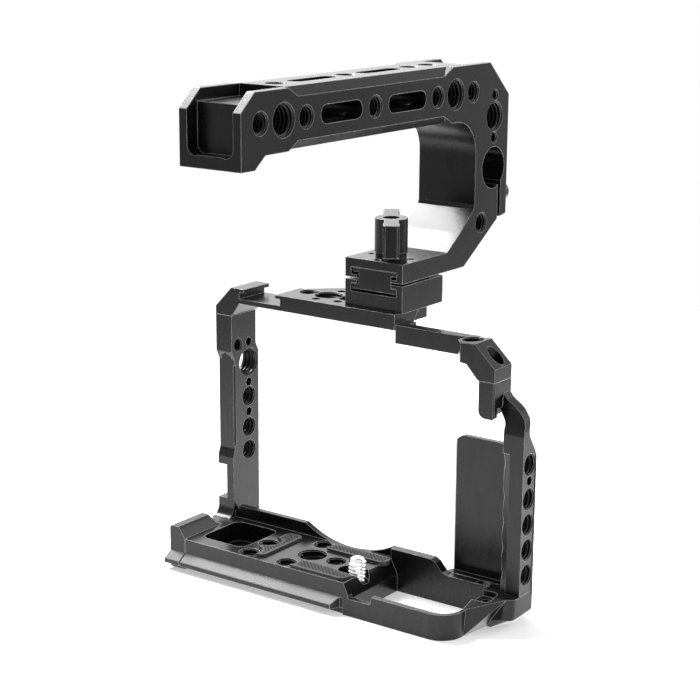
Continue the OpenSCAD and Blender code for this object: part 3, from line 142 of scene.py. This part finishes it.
# Finish of each CAD node that stays
NODE_FINISH = {
    "anodised": ("base_frame", "right_post", "grip_shell", "top_plate", "right_arm", "rail_block",
                 "handle_frame", "knob_collar", "wing_knob", "clamp_key"),
    "rubber": ("left_pad", "rear_pad", "front_pad"),
    "black_steel": ("left_corner_screw", "right_corner_screw", "arm_screws", "rail_screws",
                    "post_stud", "shell_screws", "ledge_screws", "handle_set_screws",
                    "clamp_screw_right", "clamp_screw_left"),
    "grey_steel": ("knob_stud", "seam_dowels"),
    "bright_steel": ("screw_washer",),
}

# Thread ridges: steps in a turn, corners of their section, its radius as a share of the pitch, and
# the hole radius in metres from which a thread has the large pitch
TURN_STEPS = 28
RIDGE_CORNERS = 4
RIDGE_SHARE = 0.46
LARGE_FROM = 0.004

# Camera screw in metres. Heights are from the screw's underside, and its tip is given by how far
# each ring lies inside the core and below the top
SCREW_SOCKET_RADIUS = 0.0019
SCREW_SOCKET_DEPTH = 0.0011
SCREW_HEAD_HEIGHT = 0.0032
SCREW_BEVEL = 0.0003
SCREW_NECK_RADIUS = 0.0024
SCREW_CORE_START = 0.0058
SCREW_CORE_RADIUS = 0.00262
SCREW_RIDGE_RADIUS = 0.00052
SCREW_BARE_LOW = 0.0006
SCREW_BARE_HIGH = 0.0012
SCREW_TIP = ((0, 0.0011), (0.0003, 0.0005), (0.0008, 0.00015), (0.0016, 0))
LATHE_STEPS = 64
SMOOTH_DEGREES = 40

# Pad studs: their corners, their size and the bare margin round them as shares of the pitch, how
# deep they sit as a share of their height, and in metres the radius of their flat top, the height
# from which the pad is felt for, and how far below its top a face still counts
STUD_CORNERS = 4
STUD_SHARE = 0.47
STUD_MARGIN = 0.62
STUD_SINK = 0.08
STUD_TOP_RADIUS = 0.0002
PROBE_HEIGHT = 0.01
PROBE_TOLERANCE = 0.0001


def numbered(stem, count):
    """Names of mounts that differ only in their number."""
    return tuple("%s_%d" % (stem, k) for k in range(1, count + 1))


# A set of threaded holes: its piece and body, its mounts, then in millimetres how far the thread's
# middle lies above and inwards of a mount, the places in Y and Z at which it repeats, its radius
# and its length, where None takes the mount's own
Thread = namedtuple("Thread", "piece body mounts up inwards steps radius length",
                    defaults=(0, 0, ((0, 0),), None, None))

# Holes on the side of the handle, in millimetres along it: from the middle one to a large one, and
# from a large one to the small ones beside it. On the leg: from the small hole to the large one
BIG_STEP = 48.05
SMALL_STEP = 11.3
LEG_STEP = (7.4, 37.3)
HANDLE_MIDDLES = ("handle_right_small_mid", "handle_left_small_mid")
LEG_SMALLS = ("leg_right_small", "leg_left_small")
BLIND_LARGE = {"inwards": 0.25, "radius": 4.85, "length": 8.1}

THREADS = (
    Thread("thread_tripod_large", "cage", ("tripod_large",), up=5.5),
    Thread("thread_deck_small", "cage", numbered("deck_small", 5), up=0.78),
    Thread("thread_left_post_small", "cage", numbered("left_post_small", 3)),
    Thread("thread_left_post_large", "cage", ("left_post_large",)),
    Thread("thread_right_post_small", "cage", numbered("right_post_small", 5)),
    Thread("thread_top_plate_large", "cage", ("top_plate_large",), up=0.5),
    Thread("thread_top_plate_small", "cage", numbered("top_plate_small", 2), up=0.5),
    Thread("thread_corner_small", "cage", ("corner_small",), up=0.9, length=5.5),
    Thread("thread_handle_small", "handle", HANDLE_MIDDLES, steps=(
        (0, 0), (-BIG_STEP - SMALL_STEP, 0), (-BIG_STEP + SMALL_STEP, 0),
        (BIG_STEP - SMALL_STEP, 0), (BIG_STEP + SMALL_STEP, 0))),
    Thread("thread_handle_large", "handle", HANDLE_MIDDLES,
           steps=((-BIG_STEP, 0), (BIG_STEP, 0)), **BLIND_LARGE),
    Thread("thread_leg_large", "handle", LEG_SMALLS, steps=(LEG_STEP,), **BLIND_LARGE),
    Thread("thread_leg_small", "handle", LEG_SMALLS),
    Thread("thread_handle_top", "handle", ("handle_top_outer", "handle_top_inner"),
           up=-0.25, length=7.5),
)


class CageFinishSettings(bpy.types.PropertyGroup):
    """Colours and gloss of the cage."""

    anodised_colour: bpy.props.FloatVectorProperty(
        name="Anodising", description="Colour of the black anodised metal", subtype="COLOR", size=3,
        default=(0.0055, 0.0055, 0.0055), min=0, max=1)
    anodised_roughness: bpy.props.FloatProperty(
        name="Anodising roughness", description="How matt the anodised metal is", subtype="FACTOR",
        default=0.27, min=0, max=1)
    # Painted highlight: a light colour laid along every edge where it would catch the light
    edge_highlight_colour: bpy.props.FloatVectorProperty(
        name="Edges", description="Colour of the polished edges", subtype="COLOR", size=3,
        default=(0.55, 0.55, 0.55), min=0, max=1)
    edge_radius: bpy.props.FloatProperty(
        name="Edge rounding", description="Radius at which edges catch the light", unit="LENGTH",
        default=0.00033, min=0, max=0.002)
    rubber_colour: bpy.props.FloatVectorProperty(
        name="Pads", description="Colour of the rubber pads", subtype="COLOR", size=3,
        default=(0.028, 0.028, 0.03), min=0, max=1)


class CageDetailSettings(bpy.types.PropertyGroup):
    """Sizes of the threads and of the pads' texture."""

    small_pitch: bpy.props.FloatProperty(
        name="Small pitch", description="Pitch of the quarter-inch threads", unit="LENGTH",
        default=0.00127, min=0.0005, max=0.003)
    large_pitch: bpy.props.FloatProperty(
        name="Large pitch", description="Pitch of the three-eighths-inch threads", unit="LENGTH",
        default=0.001588, min=0.0005, max=0.003)
    stud_pitch: bpy.props.FloatProperty(
        name="Pad stud pitch", description="Spacing of the raised diamonds on the pads",
        unit="LENGTH", default=0.0015, min=0.0008, max=0.004)
    stud_height: bpy.props.FloatProperty(
        name="Pad stud height", description="Height of the raised diamonds on the pads",
        unit="LENGTH", default=0.00035, min=0.0001, max=0.001)


class CageStageSettings(bpy.types.PropertyGroup):
    """Floor and light."""

    floor_size: bpy.props.FloatProperty(
        name="Floor size", description="Width of the pale floor", unit="LENGTH",
        default=6, min=1, max=20)
    key_power: bpy.props.FloatProperty(
        name="Light", description="Power in watts that each lamp takes its share of",
        default=8, min=0, max=100)


def new_material(name):
    """A node material with a Principled shader; returns the material, its tree and the shader."""
    material = bpy.data.materials.new(name)
    material.use_nodes = True
    tree = material.node_tree
    return material, tree, tree.nodes["Principled BSDF"]


def object_place(tree):
    """Object coordinates."""
    return tree.nodes.new("ShaderNodeTexCoord").outputs["Object"]


def stretched(tree, place, along):
    """Coordinates scaled along Z."""
    node = tree.nodes.new("ShaderNodeMapping")
    node.inputs["Scale"].default_value = (1, 1, along)
    tree.links.new(place, node.inputs["Vector"])
    return node.outputs["Vector"]


def noise(tree, place, scale, detail=3):
    """A noise texture."""
    texture = tree.nodes.new("ShaderNodeTexNoise")
    texture.inputs["Scale"].default_value = scale
    texture.inputs["Detail"].default_value = detail
    texture.inputs["Roughness"].default_value = NOISE_ROUGHNESS
    tree.links.new(place, texture.inputs["Vector"])
    return texture.outputs["Fac"]


def ramp(tree, value, span, out=(0, 1)):
    """A value mapped from one range to another."""
    node = tree.nodes.new("ShaderNodeMapRange")
    for socket, number in zip(node.inputs[1:5], (*span, *out)):
        socket.default_value = number
    tree.links.new(value, node.inputs["Value"])
    return node.outputs["Result"]


def maths(tree, operation, first, second):
    """A maths node's result."""
    node = tree.nodes.new("ShaderNodeMath")
    node.operation = operation
    tree.links.new(first, node.inputs[0])
    tree.links.new(second, node.inputs[1])
    return node.outputs[0]


def mix_colour(tree, factor, first, second):
    """A mix of a colour, or a colour socket, with another colour."""
    node = tree.nodes.new("ShaderNodeMix")
    node.data_type = "RGBA"
    tree.links.new(factor, node.inputs["Factor"])
    for socket, colour in ((node.inputs[6], first), (node.inputs[7], second)):
        if isinstance(colour, bpy.types.NodeSocket):
            tree.links.new(colour, socket)
        else:
            socket.default_value = (*colour, 1)
    return node.outputs[2]


def lifted(colour, factor, added=0):
    """A brighter colour, kept within white."""
    return tuple(min(1, factor * c + added) for c in colour)


def edge_mask(tree, radius):
    """A mask of the edges, from how far the rounded normal turns away, and that normal."""
    bevel = tree.nodes.new("ShaderNodeBevel")
    bevel.samples = EDGE_SAMPLES
    bevel.inputs["Radius"].default_value = radius
    geometry = tree.nodes.new("ShaderNodeNewGeometry")
    dot = tree.nodes.new("ShaderNodeVectorMath")
    dot.operation = "DOT_PRODUCT"
    tree.links.new(bevel.outputs["Normal"], dot.inputs[0])
    tree.links.new(geometry.outputs["Normal"], dot.inputs[1])
    return ramp(tree, dot.outputs["Value"], EDGE_SPAN), bevel.outputs["Normal"]


def bump(tree, height, strength, distance, normal=None):
    """A bump from a height, on top of a normal if there is one."""
    node = tree.nodes.new("ShaderNodeBump")
    node.inputs["Strength"].default_value = strength
    node.inputs["Distance"].default_value = distance
    tree.links.new(height, node.inputs["Height"])
    if normal is not None:
        tree.links.new(normal, node.inputs["Normal"])
    return node.outputs["Normal"]


def emission(tree, strength):
    """A white glow."""
    node = tree.nodes.new("ShaderNodeEmission")
    tree.links.new(strength, node.inputs["Strength"])
    return node.outputs[0]


def anodised_metal(name, settings):
    """Black anodised aluminium: fine grain, faint clouds and streaks, and a painted highlight along
    the edges.
    """
    material, tree, shader = new_material(name)
    place = object_place(tree)
    grain = noise(tree, place, GRAIN_SCALE, 2)
    cloud = noise(tree, place, CLOUD_SCALE, 4)
    mask, rounded = edge_mask(tree, settings.edge_radius)
    base = tuple(settings.anodised_colour)
    cloudy = mix_colour(tree, ramp(tree, cloud, CLOUD_COLOUR_SPAN), base, lifted(base, CLOUD_LIFT))
    # Painted highlight: the edge mask lifts the base colour to the light edge colour along every
    # edge
    colour = mix_colour(tree, mask, cloudy, tuple(settings.edge_highlight_colour))
    tree.links.new(colour, shader.inputs["Base Color"])
    low = settings.anodised_roughness - CLOUD_SMOOTHER
    rough = ramp(tree, cloud, CLOUD_ROUGHNESS_SPAN, (low, low + CLOUD_ROUGHNESS_RANGE))
    tree.links.new(rough, shader.inputs["Roughness"])
    tree.links.new(bump(tree, grain, *GRAIN_BUMP, rounded), shader.inputs["Normal"])
    streaks = noise(tree, stretched(tree, place, STREAK_STRETCH), STREAK_SCALE)
    specular = ramp(tree, streaks, NOISE_SPAN, STREAK_SPECULAR)
    tree.links.new(specular, shader.inputs["Specular IOR Level"])
    return material


def pad_rubber(name, settings):
    """Dark grey moulded rubber."""
    material, tree, shader = new_material(name)
    place = object_place(tree)
    fine = noise(tree, place, RUBBER_GRAIN_SCALE)
    patch = noise(tree, place, RUBBER_PATCH_SCALE)
    base = tuple(settings.rubber_colour)
    colour = mix_colour(tree, ramp(tree, patch, NOISE_SPAN), base, lifted(base, RUBBER_PATCH_LIFT))
    tree.links.new(colour, shader.inputs["Base Color"])
    tree.links.new(ramp(tree, fine, NOISE_SPAN, RUBBER_ROUGHNESS), shader.inputs["Roughness"])
    tree.links.new(bump(tree, fine, *RUBBER_BUMP), shader.inputs["Normal"])
    shader.inputs["Specular IOR Level"].default_value = RUBBER_SPECULAR
    return material


def steel(name, colour, roughness, rougher):
    """Machined steel with fine turning marks and a painted highlight along its edges."""
    material, tree, shader = new_material(name)
    marks = noise(tree, stretched(tree, object_place(tree), MARK_STRETCH), MARK_SCALE)
    mask, rounded = edge_mask(tree, STEEL_EDGE_RADIUS)
    tone = mix_colour(tree, ramp(tree, marks, NOISE_SPAN), colour, lifted(colour, MARK_LIFT))
    # Painted highlight: the edge mask lifts the steel's colour along every edge
    edge_highlighted = mix_colour(tree, mask, tone, lifted(colour, STEEL_EDGE_HIGHLIGHT_LIFT, STEEL_EDGE_HIGHLIGHT_ADDED))
    tree.links.new(edge_highlighted, shader.inputs["Base Color"])
    rough = ramp(tree, marks, NOISE_SPAN, (roughness, roughness + rougher))
    tree.links.new(rough, shader.inputs["Roughness"])
    tree.links.new(bump(tree, marks, *MARK_BUMP, rounded), shader.inputs["Normal"])
    shader.inputs["Metallic"].default_value = 1
    return material


def make_finish(key, name, settings):
    """The material of one finish."""
    if key == "anodised":
        return anodised_metal(name, settings)
    if key == "rubber":
        return pad_rubber(name, settings)
    return steel(name, *STEELS[key])


def finishes():
    """The finishes by name, each made once."""
    settings = bpy.context.scene.cage_finish
    made = {}
    for key in NODE_FINISH:
        name = "cage_" + key
        made[key] = bpy.data.materials.get(name) or make_finish(key, name, settings)
    return made


class TreeBuilder:
    """A short way to write a Geometry Nodes tree."""

    def __init__(self, name, labels):
        self.tree = bpy.data.node_groups.new(name, "GeometryNodeTree")
        face = self.tree.interface
        face.new_socket("Geometry", in_out="INPUT", socket_type="NodeSocketGeometry")
        self.sockets = {}
        for label in labels:
            socket = face.new_socket(label, in_out="INPUT", socket_type="NodeSocketFloat")
            self.sockets[label] = socket.identifier
        face.new_socket("Geometry", in_out="OUTPUT", socket_type="NodeSocketGeometry")
        self.start = self.tree.nodes.new("NodeGroupInput")
        self.end = self.tree.nodes.new("NodeGroupOutput")

    def add(self, kind, links, **settings):
        """A node with its attributes set and its inputs linked or given."""
        node = self.tree.nodes.new(kind)
        for key, value in settings.items():
            setattr(node, key, value)
        for key, value in links.items():
            socket = node.inputs[key]
            if isinstance(value, bpy.types.NodeSocket):
                self.tree.links.new(value, socket)
            else:
                socket.default_value = value
        return node

    def maths(self, operation, first, second):
        """A maths node's result."""
        return self.add("ShaderNodeMath", {0: first, 1: second}, operation=operation).outputs[0]

    def instances(self, shape):
        """The links that put a shape on each of the tree's points."""
        return {"Points": self.start.outputs["Geometry"], "Instance": shape}

    def finish(self, geometry, material):
        """Ends the tree in Realize Instances and Set Material."""
        real = self.add("GeometryNodeRealizeInstances", {"Geometry": geometry})
        painted = self.add("GeometryNodeSetMaterial",
                           {"Geometry": real.outputs[0], "Material": material})
        self.tree.links.new(painted.outputs[0], self.end.inputs[0])
        return self.tree


def thread_tree(material):
    """Helical ridges at each point, turned to the point's own axis."""
    build = TreeBuilder("thread_ridges", ("Radius", "Pitch", "Length", "Ridge"))
    give = build.start.outputs
    turns = build.maths("DIVIDE", give["Length"], give["Pitch"])
    spiral = build.add("GeometryNodeCurveSpiral", {
        "Resolution": TURN_STEPS, "Rotations": turns, "Start Radius": give["Radius"],
        "End Radius": give["Radius"], "Height": give["Length"]})
    level = build.add("GeometryNodeSetCurveNormal", {"Curve": spiral.outputs[0]}, mode="Z_UP")
    profile = build.add("GeometryNodeCurvePrimitiveCircle", {
        "Resolution": RIDGE_CORNERS, "Radius": give["Ridge"]})
    ridge = build.add("GeometryNodeCurveToMesh", {
        "Curve": level.outputs[0], "Profile Curve": profile.outputs[0], "Fill Caps": True})
    half = build.maths("MULTIPLY", give["Length"], -0.5)
    shift = build.add("ShaderNodeCombineXYZ", {"Z": half})
    centred = build.add("GeometryNodeTransform", {
        "Geometry": ridge.outputs[0], "Translation": shift.outputs[0]})
    axis = build.add("GeometryNodeInputNamedAttribute", {"Name": "axis"}, data_type="FLOAT_VECTOR")
    turn = build.add("FunctionNodeAlignRotationToVector", {"Vector": axis.outputs[0]}, axis="Z")
    spread = build.add("GeometryNodeInstanceOnPoints", {
        **build.instances(centred.outputs[0]), "Rotation": turn.outputs[0]})
    return build.finish(spread.outputs[0], material), build.sockets


def studs_tree(material):
    """A low diamond pyramid at each point."""
    build = TreeBuilder("pad_studs", ("Size", "Height"))
    give = build.start.outputs
    cone = build.add("GeometryNodeMeshCone", {
        "Vertices": STUD_CORNERS, "Radius Top": STUD_TOP_RADIUS, "Radius Bottom": give["Size"],
        "Depth": give["Height"]}, fill_type="NGON")
    spread = build.add("GeometryNodeInstanceOnPoints", build.instances(cone.outputs["Mesh"]))
    return build.finish(spread.outputs[0], material), build.sockets


def hole_places(mount):
    """The middle of each hole that a mount states."""
    middle = Vector(mount["pos_m"])
    if mount["kind"] != "bolt_pattern":
        return [middle]
    dims = mount["dims"]
    across = abs(mount["axis"][0]) > 0.5
    rows = {"spacing_x_mm": Vector((0, 1, 0)) if across else Vector((1, 0, 0)),
            "spacing_y_mm": Vector((0, 0, 1)) if across else Vector((0, 1, 0))}
    key = next(k for k in rows if k in dims)
    return [middle + side * dims[key] * MM * rows[key] for side in (-0.5, 0.5)]


def add_object(name, data):
    """A new object in the scene."""
    thing = bpy.data.objects.new(name, data)
    bpy.context.scene.collection.objects.link(thing)
    return thing


def point_object(name, points, axes=()):
    """An object of loose points, each with its own axis if axes are given."""
    mesh = bpy.data.meshes.new(name)
    mesh.from_pydata([tuple(p) for p in points], [], [])
    if axes:
        layer = mesh.attributes.new("axis", "FLOAT_VECTOR", "POINT")
        for item, axis in zip(layer.data, axes):
            item.vector = axis
    return add_object(name, mesh)


def grow(thing, tree, sockets, values):
    """Runs a Geometry Nodes tree on an object and keeps its result as a plain mesh."""
    modifier = thing.modifiers.new("grow", "NODES")
    modifier.node_group = tree
    for label, value in values.items():
        modifier[sockets[label]] = value
    bpy.context.view_layer.update()
    graph = bpy.context.evaluated_depsgraph_get()
    mesh = bpy.data.meshes.new_from_object(thing.evaluated_get(graph), depsgraph=graph)
    thing.modifiers.clear()
    old = thing.data
    thing.data = mesh
    bpy.data.meshes.remove(old)
    mesh.name = thing.name


def paint(thing, material):
    """Gives every material slot of an object one material."""
    if not thing.data.materials:
        thing.data.materials.append(material)
    for slot in thing.material_slots:
        slot.material = material


def smooth_by_angle(mesh):
    """Smooth shading, with sharp edges kept above an angle."""
    for polygon in mesh.polygons:
        polygon.use_smooth = True
    work = bmesh.new()
    work.from_mesh(mesh)
    limit = math.radians(SMOOTH_DEGREES)
    for edge in work.edges:
        edge.smooth = len(edge.link_faces) == 2 and edge.calc_face_angle(0) < limit
    work.to_mesh(mesh)
    work.free()


def lathe(name, profile, centre):
    """A closed turned mesh from (radius, height) pairs round a vertical axis."""
    verts = []
    for radius, height in profile:
        for k in range(LATHE_STEPS):
            angle = 2 * math.pi * k / LATHE_STEPS
            verts.append((centre[0] + radius * math.cos(angle),
                          centre[1] + radius * math.sin(angle), height))
    faces = []
    for low in range(0, (len(profile) - 1) * LATHE_STEPS, LATHE_STEPS):
        high = low + LATHE_STEPS
        for k in range(LATHE_STEPS):
            after = (k + 1) % LATHE_STEPS
            faces.append((low + k, low + after, high + after, high + k))
    faces.append(tuple(reversed(range(LATHE_STEPS))))
    faces.append(tuple(range(len(verts) - LATHE_STEPS, len(verts))))
    mesh = bpy.data.meshes.new(name)
    mesh.from_pydata(verts, [], faces)
    return add_object(name, mesh)


def join(target, other):
    """Moves the mesh of another object into the first."""
    work = bmesh.new()
    work.from_mesh(target.data)
    work.from_mesh(other.data)
    mesh = other.data
    bpy.data.objects.remove(other)
    bpy.data.meshes.remove(mesh)
    work.to_mesh(target.data)
    work.free()


class CAGE_OT_finish(bpy.types.Operator):
    """Paint every CAD piece with its own finish"""

    bl_idname = "cage.finish"
    bl_label = "Finishes"

    def execute(self, context):
        made = finishes()
        for finish, names in NODE_FINISH.items():
            for name in names:
                paint(frame["nodes"][name], made[finish])
        paint(frame["nodes"]["camera_screw"], made["bright_steel"])
        return {"FINISHED"}


class CAGE_OT_threads(bpy.types.Operator):
    """Cut the look of a thread into every threaded hole"""

    bl_idname = "cage.threads"
    bl_label = "Threads"

    def execute(self, context):
        detail = context.scene.cage_detail
        tree, sockets = thread_tree(finishes()["anodised"])
        for name, body, mounts, up, inwards, steps, radius, length in THREADS:
            holes = [MOUNTS[m] for m in mounts]
            dims = holes[0]["dims"]
            radius = (radius or dims.get("r_mm") or dims["hole_r_mm"]) * MM
            length = (length or dims["length_mm"]) * MM
            pitch = detail.large_pitch if radius > LARGE_FROM else detail.small_pitch
            places, axes = [], []
            for hole in holes:
                axis = Vector(hole["axis"])
                for place in hole_places(hole):
                    for along, above in steps:
                        shift = Vector((0, along, above + up)) - inwards * axis
                        places.append(place + MM * shift)
                        axes.append(axis)
            piece = point_object(name, places, axes)
            grow(piece, tree, sockets, {
                "Radius": radius, "Pitch": pitch, "Length": length - pitch,
                "Ridge": RIDGE_SHARE * pitch})
            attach(piece, body)
        return {"FINISHED"}


class CAGE_OT_camera_screw(bpy.types.Operator):
    """Make the bright camera screw with its thread"""

    bl_idname = "cage.camera_screw"
    bl_label = "Camera screw"

    def execute(self, context):
        low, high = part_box("camera_screw")
        centre = ((low.x + high.x) / 2, (low.y + high.y) / 2)
        start = low.z + SCREW_CORE_START
        bright = finishes()["bright_steel"]
        screw = lathe("camera_screw_turned", self.profile(low, high, start), centre)
        tree, sockets = thread_tree(bright)
        length = high.z - SCREW_BARE_HIGH - start - SCREW_BARE_LOW
        middle = Vector((*centre, start + SCREW_BARE_LOW + length / 2))
        ridge = point_object("camera_screw_ridge", [middle], [(0, 0, 1)])
        grow(ridge, tree, sockets, {
            "Radius": SCREW_CORE_RADIUS, "Pitch": context.scene.cage_detail.small_pitch,
            "Length": length, "Ridge": SCREW_RIDGE_RADIUS})
        ridge.data.materials.clear()
        paint(screw, bright)
        join(screw, ridge)
        smooth_by_angle(screw.data)
        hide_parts("camera_screw")
        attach(screw, "camera_bolt")
        return {"FINISHED"}

    @staticmethod
    def profile(low, high, start):
        """Radius and height of each ring, from inside the head's socket to the tip."""
        head = (high.x - low.x) / 2
        head_top = low.z + SCREW_HEAD_HEIGHT
        rings = [(SCREW_SOCKET_RADIUS, low.z + SCREW_SOCKET_DEPTH), (SCREW_SOCKET_RADIUS, low.z),
                 (head - SCREW_BEVEL, low.z), (head, low.z + SCREW_BEVEL),
                 (head, head_top - SCREW_BEVEL), (head - SCREW_BEVEL, head_top),
                 (SCREW_NECK_RADIUS, head_top), (SCREW_NECK_RADIUS, start),
                 (SCREW_CORE_RADIUS, start + SCREW_BEVEL)]
        return rings + [(SCREW_CORE_RADIUS - inside, high.z - below) for inside, below in SCREW_TIP]


class CAGE_OT_pad_studs(bpy.types.Operator):
    """Raise the diamond texture on the rubber pads"""

    bl_idname = "cage.pad_studs"
    bl_label = "Pad texture"

    def execute(self, context):
        detail = context.scene.cage_detail
        pitch = detail.stud_pitch
        tree, sockets = studs_tree(finishes()["rubber"])
        for node in NODE_FINISH["rubber"]:
            pad = frame["nodes"][node]
            low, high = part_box(node)
            height = high.z - STUD_SINK * detail.stud_height
            points = []
            for row in range(1, int((high.y - low.y) / pitch * 2)):
                for column in range(1, int((high.x - low.x) / pitch)):
                    x = low.x + (column + 0.5 * (row % 2)) * pitch
                    y = low.y + row * pitch / 2
                    if self.on_pad(pad, x, y, high.z, STUD_MARGIN * pitch):
                        points.append((x, y, height))
            piece = point_object(node + "_studs", points)
            grow(piece, tree, sockets, {"Size": STUD_SHARE * pitch, "Height": detail.stud_height})
            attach(piece, "cage")
        return {"FINISHED"}

    @staticmethod
    def on_pad(pad, x, y, top, margin):
        """Whether the pad's top face lies under a point and all round it."""
        for dx, dy in ((0, 0), (margin, 0), (-margin, 0), (0, margin), (0, -margin)):
            start = Vector((x + dx, y + dy, top + PROBE_HEIGHT))
            hit, place, _, _ = pad.ray_cast(start, Vector((0, 0, -1)))
            if not hit or place.z < top - PROBE_TOLERANCE:
                return False
        return True


class CAGE_OT_stage(bpy.types.Operator):
    """Set the floor, the lights and the photograph's camera"""

    bl_idname = "cage.stage"
    bl_label = "Stage"

    def execute(self, context):
        settings = context.scene.cage_stage
        self.floor(settings.floor_size / 2)
        self.world()
        for name, place, size, share, aim in LAMPS:
            self.lamp(name, place, size, share * settings.key_power, aim)
        self.camera()
        context.scene.view_settings.view_transform = "Standard"
        return {"FINISHED"}

    @staticmethod
    def floor(half):
        """A pale floor that keeps the shadow near the cage and turns white further out."""
        mesh = bpy.data.meshes.new("floor")
        corners = ((-half, -half, 0), (half, -half, 0), (half, half, 0), (-half, half, 0))
        mesh.from_pydata(corners, [], [(0, 1, 2, 3)])
        ground = add_object("floor", mesh)
        material, tree, shader = new_material("pale_floor")
        shader.inputs["Base Color"].default_value = (*FLOOR_COLOUR, 1)
        shader.inputs["Roughness"].default_value = FLOOR_ROUGHNESS
        shader.inputs["Specular IOR Level"].default_value = FLOOR_SPECULAR
        rays = tree.nodes.new("ShaderNodeLightPath").outputs
        far = tree.nodes.new("ShaderNodeVectorMath")
        far.operation = "LENGTH"
        tree.links.new(object_place(tree), far.inputs[0])
        glow = maths(tree, "ADD",
                     ramp(tree, rays["Is Camera Ray"], (0, 1), (0, FLOOR_CAMERA_GLOW)),
                     ramp(tree, rays["Is Glossy Ray"], (0, 1), (0, FLOOR_GLOSS_GLOW)))
        lit = tree.nodes.new("ShaderNodeAddShader")
        tree.links.new(shader.outputs[0], lit.inputs[0])
        tree.links.new(emission(tree, glow), lit.inputs[1])
        seen = maths(tree, "MAXIMUM", rays["Is Camera Ray"], rays["Is Glossy Ray"])
        both = tree.nodes.new("ShaderNodeMixShader")
        tree.links.new(ramp(tree, far.outputs["Value"], FLOOR_FADE), both.inputs[0])
        tree.links.new(lit.outputs[0], both.inputs[1])
        tree.links.new(emission(tree, seen), both.inputs[2])
        tree.links.new(both.outputs[0], tree.nodes["Material Output"].inputs["Surface"])
        mesh.materials.append(material)

    @staticmethod
    def world():
        """White surroundings, dimmer as light than as the camera and gloss see them."""
        world = bpy.data.worlds.new("studio")
        bpy.context.scene.world = world
        world.use_nodes = True
        tree = world.node_tree
        back = tree.nodes["Background"]
        back.inputs["Color"].default_value = (1, 1, 1, 1)
        rays = tree.nodes.new("ShaderNodeLightPath").outputs
        seen = maths(tree, "MAXIMUM", rays["Is Camera Ray"], rays["Is Transmission Ray"])
        seen = maths(tree, "MAXIMUM", seen, rays["Is Glossy Ray"])
        tree.links.new(ramp(tree, seen, (0, 1), (WORLD_LIGHT, 1)), back.inputs["Strength"])

    @staticmethod
    def lamp(name, place, size, power, aim):
        """A soft rectangular lamp that points at a place."""
        light = bpy.data.lights.new(name, "AREA")
        light.shape = "RECTANGLE"
        light.size, light.size_y = size
        light.energy = power
        thing = add_object(name, light)
        thing.location = place
        thing.rotation_euler = (Vector(aim) - Vector(place)).to_track_quat("-Z", "Y").to_euler()

    @staticmethod
    def camera():
        """The photograph's camera."""
        data = bpy.data.cameras.new("photo_camera")
        data.sensor_width = CAMERA_SENSOR
        data.lens = CAMERA_LENS
        data.clip_start = CAMERA_CLIP_START
        eye = add_object("photo_camera", data)
        turn = Matrix((CAMERA_RIGHT, CAMERA_UP, CAMERA_BACK)).transposed()
        eye.matrix_world = Matrix.Translation(CAMERA_PLACE) @ turn.to_4x4()
        bpy.context.scene.camera = eye


class CAGE_PT_panel(bpy.types.Panel):
    """Buttons for the pieces of the cage"""

    bl_idname = "CAGE_PT_panel"
    bl_label = "Camera Cage"
    bl_space_type = "VIEW_3D"
    bl_region_type = "UI"
    bl_category = "Cage"

    def draw(self, context):
        for name in GROUPS:
            group = getattr(context.scene, name)
            for key in group.__annotations__:
                self.layout.prop(group, key)
        for operator in OPERATORS:
            self.layout.operator(operator.bl_idname)


GROUPS = {
    "cage_finish": CageFinishSettings,
    "cage_detail": CageDetailSettings,
    "cage_stage": CageStageSettings,
}
OPERATORS = (CAGE_OT_finish, CAGE_OT_threads, CAGE_OT_camera_screw, CAGE_OT_pad_studs,
             CAGE_OT_stage)


def register():
    """Registers the add-on's classes and settings."""
    for cls in (*GROUPS.values(), *OPERATORS, CAGE_PT_panel):
        bpy.utils.register_class(cls)
    for key, cls in GROUPS.items():
        setattr(bpy.types.Scene, key, bpy.props.PointerProperty(type=cls))


def unregister():
    """Takes them away again."""
    for key in GROUPS:
        delattr(bpy.types.Scene, key)
    for cls in (CAGE_PT_panel, *OPERATORS, *GROUPS.values()):
        bpy.utils.unregister_class(cls)


def main():
    """Makes the whole scene."""
    register()
    bpy.ops.cage.stage()
    bpy.ops.cage.finish()
    bpy.ops.cage.threads()
    bpy.ops.cage.camera_screw()
    bpy.ops.cage.pad_studs()


if __name__ == "__main__":
    main()
